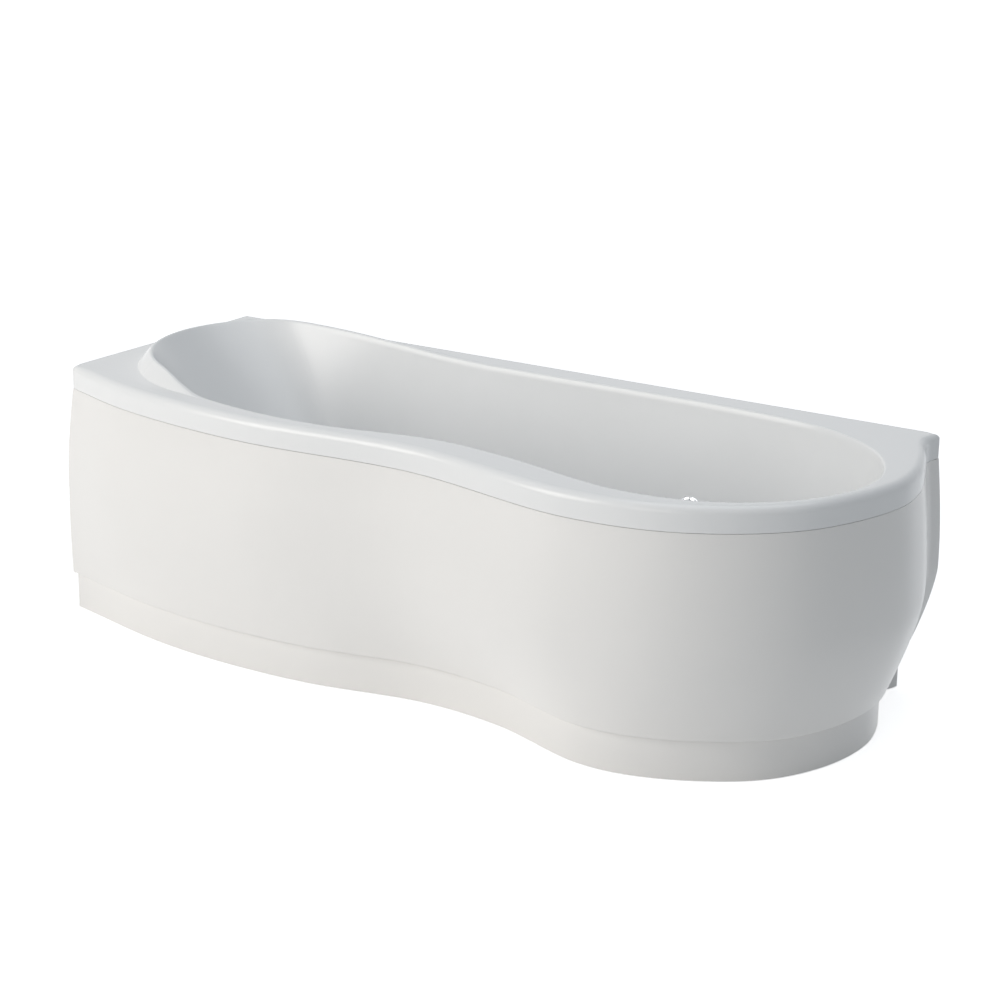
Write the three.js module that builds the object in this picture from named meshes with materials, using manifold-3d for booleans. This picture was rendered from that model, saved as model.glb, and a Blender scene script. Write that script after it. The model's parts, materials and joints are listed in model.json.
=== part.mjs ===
import * as THREE from 'three';
import { mergeVertices } from 'three/addons/utils/BufferGeometryUtils.js';
import Module from 'manifold-3d';

const wasm = await Module();
wasm.setup();

// A left-hand corner bath with hydromassage jets. Its straight back edge and its left
// end go against two walls, and its front is a free wave that swells at the right.
// X runs along the back wall from the left wall, -Y comes out into the room, Z is up.

// Driving sizes of the bath, in millimetres
const bath = {
  length: 1800, depth: 750, height: 542, shell: 8, floorHeight: 115, kneeHeight: 205,
  gap: 0.3, overrun: 4,
};

// Rim: a vertical edge with a rounded top, and the raised ring round the head end
const rim = { height: 49, radius: 17, lipWidth: 14, lipDrop: 4 };
const ring = { height: 30, run: 22, frontStart: 230, frontEnd: 400, backStart: 150, backEnd: 720 };

// Plan curves, as shares of the length and the depth, chosen by hand
const rimFrontShares = [
  [0, 0.781], [0.118, 0.876], [0.3, 0.933], [0.52, 0.903], [0.74, 0.995], [0.857, 0.942],
  [0.955, 0.758], [1, 0.482], [0.997, 0.33], [0.978, 0.187], [0.96, 0.09], [0.953, 0],
];
const panelFootShares = [
  [0, 0.811], [0.15, 0.897], [0.26, 0.922], [0.38, 0.91], [0.52, 0.846], [0.62, 0.864],
  [0.75, 0.955], [0.83, 0.926], [0.924, 0.789], [0.967, 0.616], [0.979, 0.419],
  [0.965, 0.27], [0.941, 0.155], [0.93, 0.06], [0.929, 0],
];
const basinEdgeShares = [
  [0.083, 0.133], [0.047, 0.26], [0.036, 0.4], [0.052, 0.553], [0.093, 0.683], [0.167, 0.79],
  [0.278, 0.858], [0.389, 0.866], [0.528, 0.805], [0.622, 0.828], [0.778, 0.911],
  [0.867, 0.875], [0.937, 0.755], [0.973, 0.587], [0.974, 0.44], [0.937, 0.267],
  [0.861, 0.14], [0.767, 0.095], [0.417, 0.085], [0.167, 0.089],
];
const basinKneeShares = [
  [0.239, 0.167], [0.214, 0.307], [0.206, 0.453], [0.219, 0.613], [0.261, 0.74], [0.344, 0.795],
  [0.433, 0.79], [0.528, 0.745], [0.622, 0.77], [0.778, 0.85], [0.856, 0.805], [0.911, 0.68],
  [0.939, 0.52], [0.928, 0.387], [0.889, 0.253], [0.806, 0.165], [0.639, 0.142], [0.389, 0.142],
];
const basinFloorShares = [
  [0.289, 0.287], [0.267, 0.44], [0.283, 0.6], [0.344, 0.687], [0.433, 0.7], [0.528, 0.653],
  [0.622, 0.667], [0.778, 0.733], [0.85, 0.667], [0.883, 0.52], [0.867, 0.36], [0.794, 0.267],
  [0.611, 0.247], [0.389, 0.253],
];
const middleShare = [0.52, 0.46];

// How many stations and steps the curved pieces are made of
const counts = {
  left: 8, front: 40, back: 11, loop: 160, round: 12, port: 8, pipe: 8, lead: 5,
};

// Front panel and the recessed kick strip under it
const panel = {
  thickness: 5, seam: 2, footHeight: 84, flange: 26, leftBulge: 26, rightBulge: 15, turnHeight: 270,
  turnPower: 1.3,
};
const kick = { thickness: 5, step: 14, floorGap: 2 };

// Finishes
const finish = (color, roughness, metalness = 0) =>
  new THREE.MeshStandardMaterial({ color, roughness, metalness });
const acrylic = finish(0xf1f3f2, 0.15);
const panelWhite = finish(0xf0efea, 0.3);
const chrome = finish(0xd6d8da, 0.12, 1);
const zinc = finish(0xaab0b4, 0.4, 0.9);
const rubber = finish(0x1f2022, 0.8);
const greyPlastic = finish(0x8f9599, 0.45);
const whitePlastic = finish(0xe6e8e8, 0.4);
const pumpBlack = finish(0x2b2e33, 0.5);
const motorGrey = finish(0x6f767c, 0.5, 0.6);
const board = finish(0xa98a5f, 0.8);

// Geometry helpers

// Keeps only merged positions and turns the faces outwards.
function clean(geometry) {
  const bare = geometry.clone();
  bare.deleteAttribute('normal');
  bare.deleteAttribute('uv');
  const merged = mergeVertices(bare);
  const index = merged.index.array;
  const at = (i) => new THREE.Vector3().fromBufferAttribute(merged.attributes.position, index[i]);
  let volume = 0;
  for (let i = 0; i < index.length; i += 3) volume += at(i).dot(at(i + 1).cross(at(i + 2)));
  if (volume < 0) {
    for (let i = 0; i < index.length; i += 3) {
      [index[i], index[i + 1]] = [index[i + 1], index[i]];
    }
  }
  return merged;
}

function solid(geometry) {
  const merged = clean(geometry);
  return new wasm.Manifold(new wasm.Mesh({
    numProp: 3,
    vertProperties: Float32Array.from(merged.attributes.position.array),
    triVerts: Uint32Array.from(merged.index.array),
  }));
}

function shape(manifold) {
  const mesh = manifold.getMesh();
  const geometry = new THREE.BufferGeometry();
  geometry.setAttribute('position', new THREE.BufferAttribute(mesh.vertProperties, 3));
  geometry.setIndex(new THREE.BufferAttribute(mesh.triVerts, 1));
  return geometry;
}

const join = (...pieces) => shape(pieces.map(solid).reduce((all, piece) => all.add(piece)));
const cut = (base, ...tools) =>
  shape(tools.map(solid).reduce((rest, tool) => rest.subtract(tool), solid(base)));

function meshOf(triangles) {
  const geometry = new THREE.BufferGeometry();
  const flat = triangles.flatMap((corner) => [corner.x, corner.y, corner.z]);
  geometry.setAttribute('position', new THREE.Float32BufferAttribute(flat, 3));
  return clean(geometry);
}

const quad = (a, b, c, d) => [a, b, c, a, c, d];

// A box from its lowest to its highest corner
function block(low, high) {
  const size = high.map((value, i) => value - low[i]);
  const middle = high.map((value, i) => (value + low[i]) / 2);
  return new THREE.BoxGeometry(...size).translate(...middle);
}

// A cylinder along Z between two heights
function rod(radius, from, to, sides = counts.port) {
  const geometry = new THREE.CylinderGeometry(radius, radius, to - from, sides);
  return geometry.rotateX(Math.PI / 2).translate(0, 0, (from + to) / 2);
}

// A turned piece about Z from [radius, height] pairs; a profile off the axis closes on itself
function turned(profile, sides = counts.round) {
  const onAxis = profile[0][0] === 0;
  const points = profile.map(([radius, height]) => new THREE.Vector2(radius, height));
  if (!onAxis) points.push(points[0].clone());
  return clean(new THREE.LatheGeometry(points, sides).rotateX(Math.PI / 2));
}

function circle(radius, sides) {
  const points = [];
  for (let i = 0; i < sides; i += 1) {
    const angle = (i / sides) * 2 * Math.PI;
    points.push(new THREE.Vector2(radius * Math.cos(angle), radius * Math.sin(angle)));
  }
  return points;
}

// A pipe along a smooth route, with its bore open at both ends, or a solid lead without one
function pipe(route, radius, wall, steps, sides = counts.pipe) {
  const section = new THREE.Shape(circle(radius, sides));
  if (wall > 0) section.holes.push(new THREE.Path(circle(radius - wall, sides)));
  const extrudePath = new THREE.CatmullRomCurve3(route, false, 'centripetal');
  return new THREE.ExtrudeGeometry(section, { steps, extrudePath, bevelEnabled: false });
}

const vector = (x, y, z) => new THREE.Vector3(x, y, z);

// Plan curves
const plan = ([x, y]) => vector(x * bath.length, -y * bath.depth, 0);
const middle = plan(middleShare);
const openCurve = (shares) => new THREE.CatmullRomCurve3(shares.map(plan), false, 'centripetal');
const closedLoop = (shares) =>
  new THREE.CatmullRomCurve3(shares.map(plan), true, 'centripetal').getSpacedPoints(counts.loop);

const rimFront = openCurve(rimFrontShares);
const panelFoot = openCurve(panelFootShares);
const edgeLoop = closedLoop(basinEdgeShares);
const kneeLoop = closedLoop(basinKneeShares);
const floorLoop = closedLoop(basinFloorShares);

// The bearing of a plan point from the middle of the bath, in a plan scaled to a square
const bearing = (point) =>
  Math.atan2((point.y - middle.y) / bath.depth, (point.x - middle.x) / bath.length);

// Where the ray of a bearing crosses a closed plan loop
function onLoop(loop, angle) {
  const dx = Math.cos(angle) * bath.length;
  const dy = Math.sin(angle) * bath.depth;
  for (let i = 0; i < loop.length - 1; i += 1) {
    const [a, b] = [loop[i], loop[i + 1]];
    const [ex, ey, qx, qy] = [b.x - a.x, b.y - a.y, a.x - middle.x, a.y - middle.y];
    const det = dx * ey - dy * ex;
    const far = (qx * ey - qy * ex) / det;
    const along = (qx * dy - qy * dx) / det;
    if (far > 0 && along >= 0 && along <= 1) return vector(a.x + along * ex, a.y + along * ey, 0);
  }
  throw new Error('a plan loop is not star-shaped');
}

// Moves the points of a closed plan loop sideways, outwards when the distance is positive
function offsetLoop(points, distance) {
  return points.map((point, i) => {
    const before = points[(i + points.length - 1) % points.length];
    const after = points[(i + 1) % points.length];
    const side = (a, b) => vector(b.y - a.y, a.x - b.x, 0).normalize();
    const [first, second] = [side(before, point), side(point, after)];
    const miter = first.clone().add(second).divideScalar(1 + first.dot(second));
    return point.clone().addScaledVector(miter, Array.isArray(distance) ? distance[i] : distance);
  });
}

const smooth = (share) => {
  const t = Math.min(Math.max(share, 0), 1);
  return t * t * (3 - 2 * t);
};

// Height of the raised ring over the deck at a point of the basin's edge
function ringHeight(edge) {
  const inFront = edge.y < middle.y;
  const [start, end] = inFront ? [ring.frontStart, ring.frontEnd] : [ring.backStart, ring.backEnd];
  return ring.height * smooth((end - edge.x) / (end - start));
}

// The straight inner wall of the basin at a bearing and a height
function wallAt(angle, z) {
  const edge = onLoop(edgeLoop, angle);
  const top = bath.height + ringHeight(edge) - rim.lipDrop;
  const point = edge.clone().lerp(onLoop(kneeLoop, angle), (top - z) / (top - bath.kneeHeight));
  return point.setZ(z);
}

// Tub shell: one vacuum-formed skin with its rim, raised ring, basin and floor
const leftDepth = rimFrontShares[0][1] * bath.depth;
const backLength = rimFrontShares[rimFrontShares.length - 1][0] * bath.length;
const rimOutline = [];
for (let i = 0; i < counts.left; i += 1) rimOutline.push(vector(0, (-leftDepth * i) / counts.left, 0));
rimOutline.push(...rimFront.getSpacedPoints(counts.front));
for (let i = 1; i <= counts.back; i += 1) {
  const turn = (i / (counts.back + 1)) * Math.PI;
  rimOutline.push(vector((backLength * (1 + Math.cos(turn))) / 2, 0, 0));
}
const bearings = rimOutline.map(bearing);
const edgeOutline = bearings.map((angle) => onLoop(edgeLoop, angle));
const ringHeights = edgeOutline.map(ringHeight);

const level = (points, z) => points.map((point) => point.clone().setZ(z));

function rimRows() {
  const slant = rim.radius * (1 - Math.SQRT1_2);
  return [
    level(rimOutline, bath.height - rim.height),
    level(rimOutline, bath.height - rim.radius),
    level(offsetLoop(rimOutline, -slant), bath.height - slant),
    level(offsetLoop(rimOutline, -rim.radius), bath.height),
  ];
}

function lipRows() {
  const lipShares = [[1, 0], [0.8, 0.6], [0.6, 0.92], [0.25, 1]];
  const rows = lipShares.map(([widthShare, heightShare], row) => {
    const widths = ringHeights.map((height) => {
      const run = row === 0 ? (ring.run * height) / ring.height : 0;
      return rim.lipWidth * widthShare + run;
    });
    const raise = (point, i) => point.setZ(bath.height + ringHeights[i] * heightShare);
    return offsetLoop(edgeOutline, widths).map(raise);
  });
  rows.push(edgeOutline.map((point, i) => point.clone().setZ(bath.height + ringHeights[i] - rim.lipDrop)));
  return rows;
}

function wallRows() {
  const depthShares = [0.05, 0.5, 1];
  return depthShares.map((share) => bearings.map((angle, i) => {
    const top = bath.height + ringHeights[i] - rim.lipDrop;
    return wallAt(angle, top - share * (top - bath.kneeHeight));
  }));
}

// The bend from the wall to the floor: a curve that leaves the wall in its own direction
function floorRows() {
  const bendShares = [0.35, 0.7, 1];
  return bendShares.map((share) => bearings.map((angle, i) => {
    const knee = wallAt(angle, bath.kneeHeight);
    const top = bath.height + ringHeights[i] - rim.lipDrop;
    const slope = knee.clone().sub(edgeOutline[i]).setZ(0).divideScalar(top - bath.kneeHeight);
    const corner = knee.clone().addScaledVector(slope, bath.kneeHeight - bath.floorHeight);
    const floor = onLoop(floorLoop, angle).setZ(bath.floorHeight);
    const bend = new THREE.QuadraticBezierCurve3(knee, corner.setZ(bath.floorHeight), floor);
    return bend.getPoint(share);
  }));
}

// A skin of even thickness under a grid of closed rows that ends in a flat middle
function skin(rows, centre, thickness) {
  const count = rows[0].length;
  const under = rows.map((row, r) => row.map((point, i) => {
    const along = row[(i + 1) % count].clone().sub(row[(i + count - 1) % count]);
    const inward = rows[Math.min(r + 1, rows.length - 1)][i].clone().sub(rows[Math.max(r - 1, 0)][i]);
    const normal = along.cross(inward).normalize();
    return point.clone().addScaledVector(normal, -thickness);
  }));
  const last = rows.length - 1;
  under[last] = level(rows[last], bath.floorHeight - thickness);
  under[0] = level(under[0], rows[0][0].z);
  const bottom = centre.clone().setZ(bath.floorHeight - thickness);
  const faces = [];
  for (let i = 0; i < count; i += 1) {
    const j = (i + 1) % count;
    for (let r = 0; r < last; r += 1) {
      faces.push(...quad(rows[r][i], rows[r][j], rows[r + 1][j], rows[r + 1][i]));
      faces.push(...quad(under[r][j], under[r][i], under[r + 1][i], under[r + 1][j]));
    }
    faces.push(rows[last][i], rows[last][j], centre);
    faces.push(under[last][j], under[last][i], bottom);
    faces.push(...quad(under[0][i], under[0][j], rows[0][j], rows[0][i]));
  }
  return meshOf(faces);
}

const plainShell = skin(
  [...rimRows(), ...lipRows(), ...wallRows(), ...floorRows()],
  middle.clone().setZ(bath.floorHeight), bath.shell,
);

// A seat is a place on the inner wall or floor with its own axes: Z points into the basin
// and Y up the wall. Each fitting is turned and drilled about it.
function makeSeat(origin, normal, up) {
  const across = up.clone().cross(normal).normalize();
  const matrix = new THREE.Matrix4().makeBasis(across, normal.clone().cross(across), normal);
  matrix.setPosition(origin);
  return { matrix, at: (x, y, z) => vector(x, y, z).applyMatrix4(matrix) };
}

const probeShare = 0.01;
const worldUp = vector(0, 0, 1);

function wallSeat(angle, z) {
  const origin = wallAt(angle, z);
  const upwards = wallAt(angle, z + bath.height * probeShare).sub(origin);
  const around = wallAt(angle + probeShare, z).sub(wallAt(angle - probeShare, z));
  return makeSeat(origin, upwards.cross(around).normalize(), worldUp);
}

const inSeat = (seat, geometry) => geometry.clone().applyMatrix4(seat.matrix);

// A hole through the shell, with a flat sunk face round it on the basin's side
const seating = { sink: 2, clear: 0.5, reach: 30, sideClear: 0.3, nutStand: 2.5 };

function drilled(seat, holeRadius, faceRadius) {
  const round = (radius) => radius / Math.cos(Math.PI / counts.port) + seating.sideClear;
  const through = rod(holeRadius, -bath.shell - seating.reach, seating.reach, counts.round);
  const front = rod(round(faceRadius), -seating.sink, seating.reach);
  return [through, front].map((tool) => inSeat(seat, tool));
}

// Heights of a fitting's own faces, measured from the basin's surface
const faceBack = -seating.sink + bath.gap;
const nutFace = -bath.shell - seating.nutStand;

// The height of a place on the wall, as a share of the way from the basin's floor to the rim
const risen = (share) => THREE.MathUtils.lerp(bath.floorHeight, bath.height, share);

// Jets: a body behind the shell, a turning face ring and a swivelling nozzle ball
const jet = {
  riseShare: 0.475, faceRadius: 30, faceRise: 5, collarRadius: 16.6, ballRadius: 14, collarDepth: 12,
  barrelRadius: 20, nutRadius: 27, nutThickness: 6, depth: 52, portRadius: 14,
  portReach: 34, portDepth: 32, airRadius: 7, airReach: 30, nozzleRadius: 5, ballCut: 10,
  clearance: 0.9, wall: 2,
};
const jetShares = [
  [0.4, 0.86], [0.7, 0.87], [0.97, 0.62], [0.96, 0.33], [0.7, 0.09], [0.42, 0.09],
];
const jetAngles = jetShares.map((share) => bearing(plan(share)));
const jetHeight = risen(jet.riseShare);
const jetSeats = jetAngles.map((angle) => wallSeat(angle, jetHeight));

function jetBody() {
  const bore = jet.collarRadius + jet.clearance;
  const port = (radius, from, to) =>
    rod(radius, from, to).rotateX(Math.PI / 2).translate(0, 0, -jet.portDepth);
  const whole = join(
    rod(jet.barrelRadius, -jet.depth, faceBack - bath.gap, counts.round),
    rod(jet.nutRadius, nutFace - jet.nutThickness, nutFace, counts.round),
    port(jet.portRadius, 0, jet.portReach), port(jet.airRadius, -jet.airReach, 0),
  );
  return cut(whole, rod(bore, -jet.depth + jet.wall, bath.overrun, counts.round));
}

function jetFace() {
  const hole = jet.ballRadius + jet.clearance;
  const edge = jet.faceRise / 3;
  return turned([
    [hole, -jet.collarDepth], [jet.collarRadius, -jet.collarDepth], [jet.collarRadius, faceBack],
    [jet.faceRadius, faceBack], [jet.faceRadius, edge], [jet.faceRadius - edge, jet.faceRise],
    [hole, jet.faceRise],
  ]);
}

function jetNozzle() {
  const end = Math.sqrt(jet.ballRadius ** 2 - jet.ballCut ** 2);
  const bulge = Math.sqrt(jet.ballRadius ** 2 - (jet.ballCut / 2) ** 2);
  return turned([
    [jet.nozzleRadius, -jet.ballCut], [end, -jet.ballCut], [bulge, -jet.ballCut / 2], [jet.ballRadius, 0],
    [bulge, jet.ballCut / 2], [end, jet.ballCut], [jet.nozzleRadius, jet.ballCut],
  ], counts.port);
}

// Two manifolds run round the outside of the basin: flow under the jets and air over them,
// with a short branch to each jet
const manifold = {
  radius: 16, wall: 2, drop: 62, steps: 34, airRadius: 8, airRise: 53, airSteps: 32, airSides: 6,
  leadShare: 0.07, subSteps: 4,
};
const manifoldAngles = [jetAngles[0] - manifold.leadShare];
for (let i = 0; i < jetAngles.length - 1; i += 1) {
  for (let step = 0; step < manifold.subSteps; step += 1) {
    manifoldAngles.push(jetAngles[i] + (step / manifold.subSteps) * (jetAngles[i + 1] - jetAngles[i]));
  }
}
manifoldAngles.push(jetAngles[jetAngles.length - 1], jetAngles[jetAngles.length - 1] + manifold.leadShare);

const manifoldRoute = (y) =>
  manifoldAngles.map((angle) => wallSeat(angle, jetHeight).at(0, y, -jet.portDepth));
const flowRoute = manifoldRoute(-manifold.drop);
const airRoute = manifoldRoute(manifold.airRise);

function manifoldPipe(route, radius, branchRadius, from, to, steps, sides) {
  const branches = jetSeats.map((seat) => inSeat(
    seat, rod(branchRadius, Math.min(from, to), Math.max(from, to)).rotateX(-Math.PI / 2)
      .translate(0, 0, -jet.portDepth),
  ));
  return join(pipe(route, radius, 0, steps, sides), ...branches);
}

const flowManifold = () => manifoldPipe(
  flowRoute, manifold.radius, jet.portRadius, -manifold.drop + manifold.wall, -jet.portReach - bath.gap,
  manifold.steps, counts.pipe,
);
const airManifold = () => manifoldPipe(
  airRoute, manifold.airRadius, jet.airRadius, manifold.airRise - manifold.wall, jet.airReach + bath.gap,
  manifold.airSteps, manifold.airSides,
);

// Suction fitting low on the front wall near the head end, with a slotted cover
const suction = {
  share: [0.29, 0.85], riseShare: 0.344, barrelRadius: 24, nutRadius: 32, nutThickness: 7, depth: 58,
  portRadius: 22, portReach: 44, portDepth: 34, wall: 3, coverRadius: 42, coverRise: 9, coverWall: 3,
  slotWidth: 3, slotPitch: 8, slotsEachSide: 2, spigotDepth: 14, clearance: 0.4,
};
const suctionSeat = wallSeat(bearing(plan(suction.share)), risen(suction.riseShare));

function suctionBody() {
  const whole = join(
    rod(suction.barrelRadius, -suction.depth, faceBack - bath.gap, counts.round),
    rod(suction.nutRadius, nutFace - suction.nutThickness, nutFace, counts.round),
    rod(suction.portRadius, 0, suction.portReach).rotateY(Math.PI / 2).translate(0, 0, -suction.portDepth),
  );
  const bore = suction.barrelRadius - suction.wall;
  const inner = rod(suction.portRadius - suction.wall, 0, suction.portReach + bath.overrun);
  return cut(
    whole, rod(bore, -suction.depth + suction.wall, bath.overrun, counts.round),
    inner.rotateY(Math.PI / 2).translate(0, 0, -suction.portDepth),
  );
}

function suctionCover() {
  const spigot = suction.barrelRadius - suction.wall - suction.clearance;
  const edge = suction.coverRise / 3;
  const cup = turned([
    [spigot - suction.coverWall, -suction.spigotDepth], [spigot, -suction.spigotDepth], [spigot, faceBack],
    [suction.coverRadius, faceBack], [suction.coverRadius, edge],
    [suction.coverRadius - suction.coverRise, suction.coverRise],
    [spigot - suction.coverWall, suction.coverRise],
  ]);
  const cap = rod(spigot - suction.coverWall / 2, suction.coverRise - suction.coverWall, suction.coverRise);
  const slots = [];
  for (let i = -suction.slotsEachSide; i <= suction.slotsEachSide; i += 1) {
    const half = suction.slotWidth / 2;
    const reach = spigot - suction.coverWall - Math.abs(i) * half;
    const low = [-reach, i * suction.slotPitch - half, suction.coverRise - suction.coverWall - half];
    slots.push(block(low, [reach, i * suction.slotPitch + half, suction.coverRise + half]));
  }
  return cut(join(cup, cap), ...slots);
}

// Waste: flange and body in the floor, a lifting plug, and a low trap under them
const drain = {
  share: [0.547, 0.527], flangeRadius: 36, flangeRise: 2, holeRadius: 23, bodyDrop: 45,
  nutRadius: 34, nutThickness: 6, wall: 3, plugRadius: 29, plugThickness: 4, stemRadius: 4,
  stemDrop: 36, spiderWidth: 5, trapRadius: 46, trapFoot: 12, outletRadius: 20,
  outletHeight: 33, outletEnd: 60, clearance: 0.5,
};
const drainPlace = plan(drain.share).setZ(bath.floorHeight);
const drainSeat = makeSeat(drainPlace, worldUp, vector(0, 1, 0));
const drainFoot = bath.floorHeight - drain.bodyDrop;

function drainFlange() {
  const skirt = drain.holeRadius;
  return turned([
    [skirt - drain.wall, -bath.shell - drain.nutThickness], [skirt, -bath.shell - drain.nutThickness],
    [skirt, faceBack], [drain.flangeRadius, faceBack], [drain.flangeRadius, 0],
    [drain.flangeRadius - drain.flangeRise, drain.flangeRise], [skirt - drain.wall, drain.flangeRise / 2],
  ]);
}

// The waste body hangs under the floor and carries the plug's guide on a cross bar
function drainBody() {
  const bore = drain.holeRadius + drain.clearance;
  const top = nutFace;
  const cup = turned([
    [bore, -drain.bodyDrop], [bore + drain.wall, -drain.bodyDrop],
    [bore + drain.wall, top - drain.nutThickness], [drain.nutRadius, top - drain.nutThickness],
    [drain.nutRadius, top], [bore, top],
  ]);
  const guideTop = -bath.shell - drain.nutThickness - drain.wall;
  const half = drain.spiderWidth / 2;
  const reach = bore + drain.wall / 2;
  const bar = block([-reach, -half, -drain.bodyDrop], [reach, half, guideTop - drain.wall]);
  const guide = rod(drain.stemRadius + drain.wall, -drain.bodyDrop, guideTop);
  return cut(
    join(cup, bar, guide),
    rod(drain.stemRadius + drain.clearance, -drain.bodyDrop - bath.overrun, guideTop + bath.overrun),
  );
}

function drainPlug() {
  const low = drain.flangeRise + bath.gap;
  return turned([
    [0, low + drain.plugThickness], [drain.plugRadius - drain.plugThickness, low + drain.plugThickness],
    [drain.plugRadius, low + drain.plugThickness / 2], [drain.plugRadius, low], [drain.stemRadius, low],
    [drain.stemRadius, -drain.stemDrop], [0, -drain.stemDrop],
  ]);
}

function trapBody() {
  const high = drainFoot - bath.gap;
  const can = rod(drain.trapRadius, drain.trapFoot, high, counts.round)
    .translate(drainPlace.x, drainPlace.y, 0);
  const outlet = rod(drain.outletRadius, drain.outletEnd, -drainPlace.y).rotateX(Math.PI / 2)
    .translate(drainPlace.x, 0, drain.outletHeight);
  const bore = rod(drain.outletRadius - drain.wall, drain.outletEnd - bath.overrun, -drainPlace.y)
    .rotateX(Math.PI / 2).translate(drainPlace.x, 0, drain.outletHeight);
  const mouth = rod(drain.holeRadius, drain.trapFoot + drain.wall, high + bath.overrun)
    .translate(drainPlace.x, drainPlace.y, 0);
  return cut(join(can, outlet), bore, mouth);
}

// Overflow on the front wall at the waist: its knob works the waste plug through a cable
const overflow = {
  share: [0.547, 0.8], belowRim: 87, barrelRadius: 22, nutRadius: 30, nutThickness: 6, depth: 70, wall: 3,
  portRadius: 14, portDepth: 55, portReach: 30, knobRadius: 34, knobRise: 14, knobStand: 4,
  stemRadius: 5, stemDepth: 30, gripWidth: 7, gripRise: 6, spiderWidth: 6, clearance: 0.5,
};
const overflowSeat = wallSeat(bearing(plan(overflow.share)), bath.height - overflow.belowRim);

function overflowBody() {
  const bore = overflow.barrelRadius - overflow.wall;
  const port = (radius, reach) =>
    rod(radius, 0, reach).rotateX(Math.PI / 2).translate(0, 0, -overflow.portDepth);
  const shell = cut(
    join(
      rod(overflow.barrelRadius, -overflow.depth, faceBack, counts.round),
      rod(overflow.nutRadius, nutFace - overflow.nutThickness, nutFace, counts.round),
      port(overflow.portRadius, overflow.portReach),
    ),
    rod(bore, -overflow.depth + overflow.wall, bath.overrun, counts.round),
    port(overflow.portRadius - overflow.wall, overflow.portReach + bath.overrun),
  );
  const half = overflow.spiderWidth / 2;
  const reach = bore + overflow.wall / 2;
  const [back, front] = [-overflow.stemDepth - overflow.wall, -overflow.stemDepth / 2];
  const bar = block([-reach, -half, back], [reach, half, front]);
  const hub = rod(overflow.stemRadius + overflow.wall, back, front);
  const hole = rod(overflow.stemRadius + overflow.clearance, back - bath.overrun, front + bath.overrun);
  return cut(join(shell, bar, hub), hole);
}

function overflowKnob() {
  const [low, high] = [overflow.knobStand, overflow.knobRise];
  const disc = turned([
    [0, high], [overflow.knobRadius - overflow.wall, high], [overflow.knobRadius, high - overflow.wall],
    [overflow.knobRadius, low], [overflow.stemRadius, low], [overflow.stemRadius, -overflow.stemDepth],
    [0, -overflow.stemDepth],
  ]);
  const half = overflow.gripWidth / 2;
  const reach = overflow.knobRadius - overflow.gripWidth;
  return join(disc, block([-reach, -half, high - overflow.wall], [reach, half, high + overflow.gripRise]));
}

// Air valve and start button on the front wall, both above the jets
const valve = {
  share: [0.335, 0.86], belowRim: 77, barrelRadius: 17, nutRadius: 24, nutThickness: 5, depth: 40, wall: 2.5,
  portRadius: 8.5, portReach: 30, portDepth: 28, faceRadius: 25, faceRise: 3, knobRadius: 20,
  knobRise: 19, stemRadius: 5, stemDepth: 20, hubThickness: 8, clearance: 0.5, gripWidth: 5, gripRise: 4,
};
const button = {
  share: [0.47, 0.83], belowRim: 77, barrelRadius: 15, nutRadius: 21, nutThickness: 5, depth: 34, wall: 2.5,
  faceRadius: 23, faceRise: 4, capRadius: 12, capRise: 7, capDepth: 8, stemRadius: 4, stemDepth: 22,
  portRadius: 4, portReach: 24, portDepth: 28, clearance: 0.5, travel: 3,
};
const valveSeat = wallSeat(bearing(plan(valve.share)), bath.height - valve.belowRim);
const buttonSeat = wallSeat(bearing(plan(button.share)), bath.height - button.belowRim);

// A flanged barrel through the shell with a side port that points down the wall
function wallBarrel(size, bore, boreDepth) {
  const whole = join(
    rod(size.barrelRadius, -size.depth, faceBack + bath.gap, counts.round),
    rod(size.faceRadius, faceBack, size.faceRise, counts.round),
    rod(size.nutRadius, nutFace - size.nutThickness, nutFace, counts.round),
    rod(size.portRadius, 0, size.portReach).rotateX(Math.PI / 2).translate(0, 0, -size.portDepth),
  );
  return cut(whole, rod(bore, -boreDepth, size.faceRise + bath.overrun, counts.round));
}

const valveBody = () => cut(
  wallBarrel(valve, valve.barrelRadius - valve.wall, valve.stemDepth - valve.hubThickness),
  rod(valve.stemRadius + valve.clearance, -valve.stemDepth - bath.overrun, bath.overrun),
);

function valveKnob() {
  const low = valve.faceRise + valve.clearance;
  const knob = turned([
    [0, valve.knobRise], [valve.knobRadius - valve.wall, valve.knobRise],
    [valve.knobRadius, valve.knobRise - valve.wall], [valve.knobRadius, low], [valve.stemRadius, low],
    [valve.stemRadius, -valve.stemDepth], [0, -valve.stemDepth],
  ]);
  const half = valve.gripWidth / 2;
  const reach = valve.knobRadius - valve.gripWidth;
  const high = valve.knobRise + valve.gripRise;
  return join(knob, block([-reach, -half, valve.knobRise - half], [reach, half, high]));
}

function buttonBody() {
  const pocket = button.capDepth + button.travel + button.clearance;
  const hole = button.stemDepth + button.travel + bath.overrun;
  return cut(
    wallBarrel(button, button.capRadius + button.clearance, pocket),
    rod(button.stemRadius + button.clearance, -hole, bath.overrun),
  );
}

const buttonCap = () => turned([
  [0, button.capRise], [button.capRadius - button.wall / 2, button.capRise],
  [button.capRadius, button.capRise - button.wall / 2], [button.capRadius, -button.capDepth],
  [button.stemRadius, -button.capDepth], [button.stemRadius, -button.stemDepth], [0, -button.stemDepth],
]);

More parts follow.
